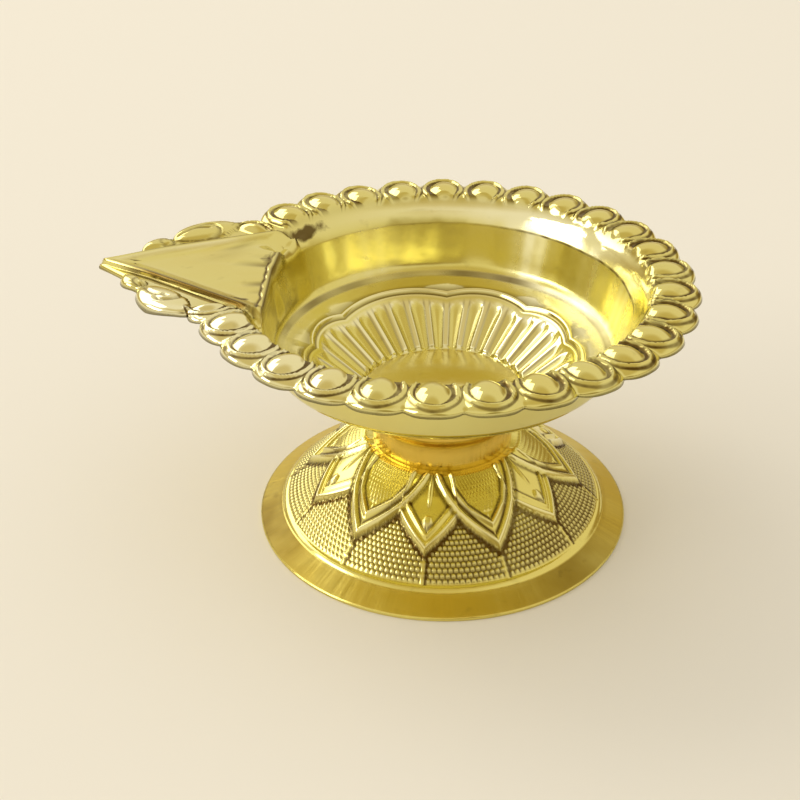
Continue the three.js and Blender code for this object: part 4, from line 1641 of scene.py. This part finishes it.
    def dome_ring(self, radius: float, backed: bool, slope: float) -> SheetRing:
        """Ring of the dome with its relief.

        Args:
            radius: The ring's radius.
            backed: Whether the back has a ring there.
            slope: The dome's fall, in radians.

        Returns:
            The ring, with its place and its marks.
        """
        crown_end = self.crown_radius + self.crown_fade
        share = float(smooth(np.array(radius), self.crown_radius, crown_end))

        def place(turn: Array) -> tuple[Array, Array]:
            here = radius + 0 * turn
            return here, self.dome_height(here) + self.relief(here, turn) * share

        return SheetRing(
            place, leaning(-slope), backed,
            painted_shade=lambda turn: self.painted_shade(radius + 0 * turn, turn),
            rub_and_glint=lambda turn: self.rub_and_glint(radius + 0 * turn, turn))

    def edge_rings(self) -> list[SheetRing]:
        """Rings over the raised line, the brim and the cut edge."""
        slope = math.atan2(self.brim_height - self.edge_height, self.radius - self.brim_radius)
        down = leaning(-slope)

        def brim_at(radius: float) -> float:
            if radius < self.brim_radius:
                return self.dome_height(radius)
            return self.brim_height - math.tan(slope) * (radius - self.brim_radius)

        rings = [
            SheetRing(steady(radius, brim_at(radius) + lift), down, index == 3)
            for index, (radius, lift) in enumerate(self.line_rings)]
        rings += [
            SheetRing(
                steady(radius, brim_at(radius)), down, index == 3, satin=np.ones_like,
                painted_shade=self.brim_shade)
            for index, radius in enumerate(self.brim_rings)]
        edge, corner = self.radius, self.edge_round
        land = steady(-self.land_width / LEVELS.sheet, 0)
        rings += [
            SheetRing(steady(edge - self.edge_start, self.edge_height), steady(*self.edge_way)),
            SheetRing(steady(edge, self.edge_height - corner), down, False),
            SheetRing(steady(edge, corner), down, False),
            SheetRing(steady(edge - corner, 0), land),
        ]
        return rings

    def build(self) -> list[bpy.types.Object]:
        """Builds the foot's sheet, from the rivet's hole to the cut edge, and dresses it."""
        slope = math.atan2(
            LEVELS.foot_top - self.brim_height, self.brim_radius - self.crown_radius)
        corner = steady(-math.tan(slope / 2), -1)
        rings = [
            SheetRing(steady(LEVELS.shank_hole, LEVELS.foot_top), STRAIGHT_DOWN),
            SheetRing(steady(self.crown_flat, LEVELS.foot_top), STRAIGHT_DOWN, False),
            SheetRing(steady(self.crown_radius, LEVELS.foot_top), corner),
        ]
        radii = [*np.linspace(*self.petal_rings), *np.linspace(*self.ground_rings)]
        for index, radius in enumerate(radii):
            rings.append(self.dome_ring(float(radius), index % 6 == 5, slope))
        sheet = StampedSheet("foot_sheet", rings + self.edge_rings()).build()
        return [dress(sheet, self.finish, Node.FOOT)]


@dataclass
class Joint:
    """Collar, floor disc, rivet and washer between the bowl and the foot, in millimetres."""

    collar_radius: float = 11.6
    collar_wall: float = 0.6
    collar_waist: tuple[Point, ...] = (
        (11.56, 15.6), (11.5, 17.4), (11.52, 18.6), (11.62, 19.2), (11.9, 19.6))
    collar_lip: tuple[Point, ...] = ((12.3, 20.0), (12.52, 20.4), (12.6, 20.9), (12.56, 21.4))
    collar_top_radius: float = 12.5
    collar_satin: float = 0.8
    disc_radius: float = 13.2
    disc_thickness: float = 0.5
    disc_crown: tuple[Point, ...] = (
        (12.9, 0.02), (12.4, 0.06), (10, 0.24), (7.5, 0.42), (5, 0.59), (3, 0.72), (1.2, 0.8),
        (0, 0.81))
    rivet_head: float = 4.3
    rivet_head_height: float = 1.0
    rivet_head_round: float = 0.5
    shank: float = 1.9
    clench: tuple[Point, ...] = ((0, 0), (2.2, 0.03), (3.1, 0.2), (3.6, 0.7))
    washer_width: float = 3.8
    satin: Brass = Brass(
        "satin_brass", (0.77, 0.60, 0.14), (0.30, 0.15, 0.03), satin_color=(0.84, 0.56, 0.09),
        roughness=0.08, marks=0.12)
    plate: Brass = Brass(
        "plate_brass", (0.86, 0.79, 0.39), (0.25, 0.17, 0.04), roughness=0.15, ripple=0.03)
    dull: Brass = Brass("dull_brass", (0.62, 0.45, 0.15), (0.2, 0.12, 0.04), roughness=0.34)

    def collar(self) -> bpy.types.Object:
        """Builds the collar with its rounded lip."""
        inside = self.collar_radius - self.collar_wall
        top, foot = LEVELS.collar_top, LEVELS.foot_top
        profile = [
            (inside, foot), (self.collar_radius, foot), *self.collar_waist, *self.collar_lip,
            (self.collar_top_radius, top), (inside, top)]
        piece = TurnedPiece(
            "collar_ring", profile, steps=288, bevel=0.05, satin=self.collar_satin).build()
        return dress(piece, self.satin, Node.COLLAR)

    def disc(self) -> bpy.types.Object:
        """Builds the plain disc on the bowl's floor, with a thin bright edge."""
        top = LEVELS.seat + self.disc_thickness
        profile = [(0, LEVELS.seat), (self.disc_radius, LEVELS.seat), (self.disc_radius, top)]
        profile += [(radius, top + rise) for radius, rise in self.disc_crown]
        piece = TurnedPiece("floor_plate", profile, steps=256, bevel=0.1).build()
        return dress(piece, self.plate, Node.DISC)

    def rivet(self) -> bpy.types.Object:
        """Builds the rivet with its head and its clenched end."""
        head = LEVELS.dimple + self.rivet_head_height
        corner = self.rivet_head_round
        profile = [(radius, LEVELS.clench_bottom + rise) for radius, rise in self.clench]
        profile += [
            (self.clench[-1][0], LEVELS.washer_bottom), (self.shank, LEVELS.washer_bottom),
            (self.shank, LEVELS.dimple), (self.rivet_head, LEVELS.dimple),
            (self.rivet_head, head - corner), (self.rivet_head - corner, head), (0, head)]
        piece = TurnedPiece("rivet_pin", profile, steps=96).build()
        return dress(piece, self.dull, Node.RIVET)

    def washer(self) -> bpy.types.Object:
        """Builds the washer under the foot's crown."""
        outside = LEVELS.shank_hole + self.washer_width
        profile = [
            (LEVELS.shank_hole, LEVELS.washer_bottom), (outside, LEVELS.washer_bottom),
            (outside, LEVELS.washer_top), (LEVELS.shank_hole, LEVELS.washer_top)]
        piece = TurnedPiece("washer_ring", profile, steps=128, bevel=0.12).build()
        return dress(piece, self.dull, Node.WASHER)

    def build(self) -> list[bpy.types.Object]:
        """Builds and dresses the four pieces."""
        return [self.collar(), self.disc(), self.rivet(), self.washer()]


@dataclass(frozen=True)
class SoftLamp:
    """A soft rectangular lamp, in metres."""

    name: str
    place: Place
    size: tuple[float, float]
    power: float


@dataclass(frozen=True)
class SkyPatch:
    """A soft patch of the surround round a direction, between two cosines from its middle."""

    way: Place
    color: Color
    rim: float
    full: float


@dataclass
class Studio:
    """Pale floor, soft lamps and the camera, in metres."""

    floor_color: Color = (0.86, 0.775, 0.615)
    floor_radius: float = 1.6
    floor_cloud: float = 0.04
    floor_cloud_scale: float = 3
    floor_shade: float = 0.9
    floor_roughness: float = 0.9
    backdrop_color: Color = (0.863, 0.776, 0.617)
    sky_level: float = 0.79
    horizon: Range = (0.32, 0.06)
    horizon_color: Color = (0.56, 0.44, 0.22)
    patches: tuple[SkyPatch, ...] = (
        SkyPatch((0.62, 0.78, 0.0), (0.40, 0.29, 0.10), 0.86, 0.97),
        SkyPatch((0.35, -0.93, 0.15), (0.40, 0.31, 0.12), 0.86, 0.97),
        SkyPatch((0.0, -0.25, 0.97), (0.66, 0.54, 0.29), 0.72, 0.95))
    lamps: tuple[SoftLamp, ...] = (
        SoftLamp("window_lamp", (-2.976, 2.0, 2.08), (3.68, 1.76), 39.9),
        SoftLamp("upper_lamp", (-2.32, 1.344, 3.2), (1.92, 1.28), 13.8),
        SoftLamp("side_lamp", (-1.856, -0.736, 0.896), (1.28, 0.8), 11.8))
    lamps_aim: Place = (0, 0, 0.03)
    focal_pixels: float = 1349.7
    image_pixels: float = 800
    sensor: float = 36
    clip_start: float = 0.01
    camera_place: Place = (0.03045, -0.1891, 0.138)
    camera_heading: float = -8.82
    camera_pitch: float = 31.6
    camera_roll: float = -0.69

    def add_floor(self) -> None:
        """Adds the plain floor."""
        bm = bmesh.new()
        bmesh.ops.create_circle(bm, cap_ends=True, segments=96, radius=self.floor_radius)
        mesh = bpy.data.meshes.new("floor")
        bm.to_mesh(mesh)
        bm.free()
        floor = add_object("floor", mesh)
        paper = bpy.data.materials.new("floor_paper")
        shop = Finisher(paper)
        cloud = shop.noise(shop.coordinates(), self.floor_cloud_scale)
        shade = tuple(self.floor_shade * value for value in self.floor_color)
        tone = shop.blend(cloud * self.floor_cloud, self.floor_color, shade)
        surface = shop.wire(
            "ShaderNodeBsdfPrincipled", {},
            {"Base Color": tone, "Roughness": self.floor_roughness, "Specular IOR Level": 0.0})
        shop.node("ShaderNodeOutputMaterial", {}, {"Surface": surface})
        mesh.materials.append(paper)

    def add_world(self) -> None:
        """Sets a pale surround that camera and metal see at its own level."""
        world = bpy.data.worlds.new("surround")
        bpy.context.scene.world = world
        shop = Finisher(world)
        rays = shop.node("ShaderNodeLightPath", {}, {})
        camera, glossy, through = (
            Wire(shop, rays.outputs[f"Is {kind} Ray"])
            for kind in ("Camera", "Glossy", "Transmission"))
        seen = camera.calc("MAXIMUM", glossy).calc("MAXIMUM", through)
        way = shop.wire("ShaderNodeTexCoord", {}, {}, "Generated")
        height = shop.wire("ShaderNodeSeparateXYZ", {}, {0: way}, 2)
        low = shop.ramp(height, *self.horizon)
        room = shop.blend(low, self.backdrop_color, self.horizon_color)
        for patch in self.patches:
            toward = tuple(Vector(patch.way).normalized())
            near = shop.wire(
                "ShaderNodeVectorMath", {"operation": "DOT_PRODUCT"}, {0: way, 1: toward}, "Value")
            room = shop.blend(shop.ramp(near, patch.rim, patch.full), room, patch.color)
        room = shop.blend(camera, room, self.backdrop_color)
        tone = shop.blend(seen, (self.sky_level,) * 3, room)
        background = shop.wire("ShaderNodeBackground", {}, {"Color": tone})
        shop.node("ShaderNodeOutputWorld", {}, {"Surface": background})

    def add_lamp(self, soft: SoftLamp) -> None:
        """Adds a soft lamp that faces the lamp's bowl."""
        data = bpy.data.lights.new(soft.name, "AREA")
        data.shape = "RECTANGLE"
        data.size, data.size_y = soft.size
        data.energy = soft.power
        lamp = add_object(soft.name, data)
        lamp.location = soft.place
        aim = Vector(self.lamps_aim) - Vector(soft.place)
        lamp.rotation_euler = aim.to_track_quat("-Z", "Y").to_euler()
        lamp.visible_camera = False

    def add_camera(self) -> None:
        """Adds the camera at the photo's angle."""
        data = bpy.data.cameras.new("camera")
        data.lens = self.focal_pixels * self.sensor / self.image_pixels
        data.sensor_width = self.sensor
        data.clip_start = self.clip_start
        data.dof.use_dof = False
        camera = add_object("camera", data)
        heading, pitch = math.radians(self.camera_heading), math.radians(self.camera_pitch)
        roll = math.radians(self.camera_roll)
        forward = Vector((
            math.sin(heading) * math.cos(pitch), math.cos(heading) * math.cos(pitch),
            -math.sin(pitch)))
        right = Vector((math.cos(heading), -math.sin(heading), 0))
        up = right.cross(forward)
        across = right * math.cos(roll) + up * math.sin(roll)
        upright = up * math.cos(roll) - right * math.sin(roll)
        turn = Matrix((across, upright, -forward)).transposed().to_4x4()
        camera.matrix_world = Matrix.Translation(self.camera_place) @ turn
        bpy.context.scene.camera = camera

    def build(self) -> None:
        """Sets up the whole studio."""
        self.add_floor()
        self.add_world()
        for soft in self.lamps:
            self.add_lamp(soft)
        self.add_camera()
        view = bpy.context.scene.view_settings
        view.view_transform = "Standard"


def main() -> None:
    """Builds and dresses every piece in order, then the studio."""
    logging.basicConfig(level=logging.INFO, format="%(name)s: %(message)s")
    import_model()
    for part in (Bowl(), Foot(), Joint()):
        for piece in part.build():
            LOG.info("%s: %d faces", piece.name, len(piece.data.polygons))
    Studio().build()
    bpy.context.view_layer.update()


if __name__ == "__main__":
    main()
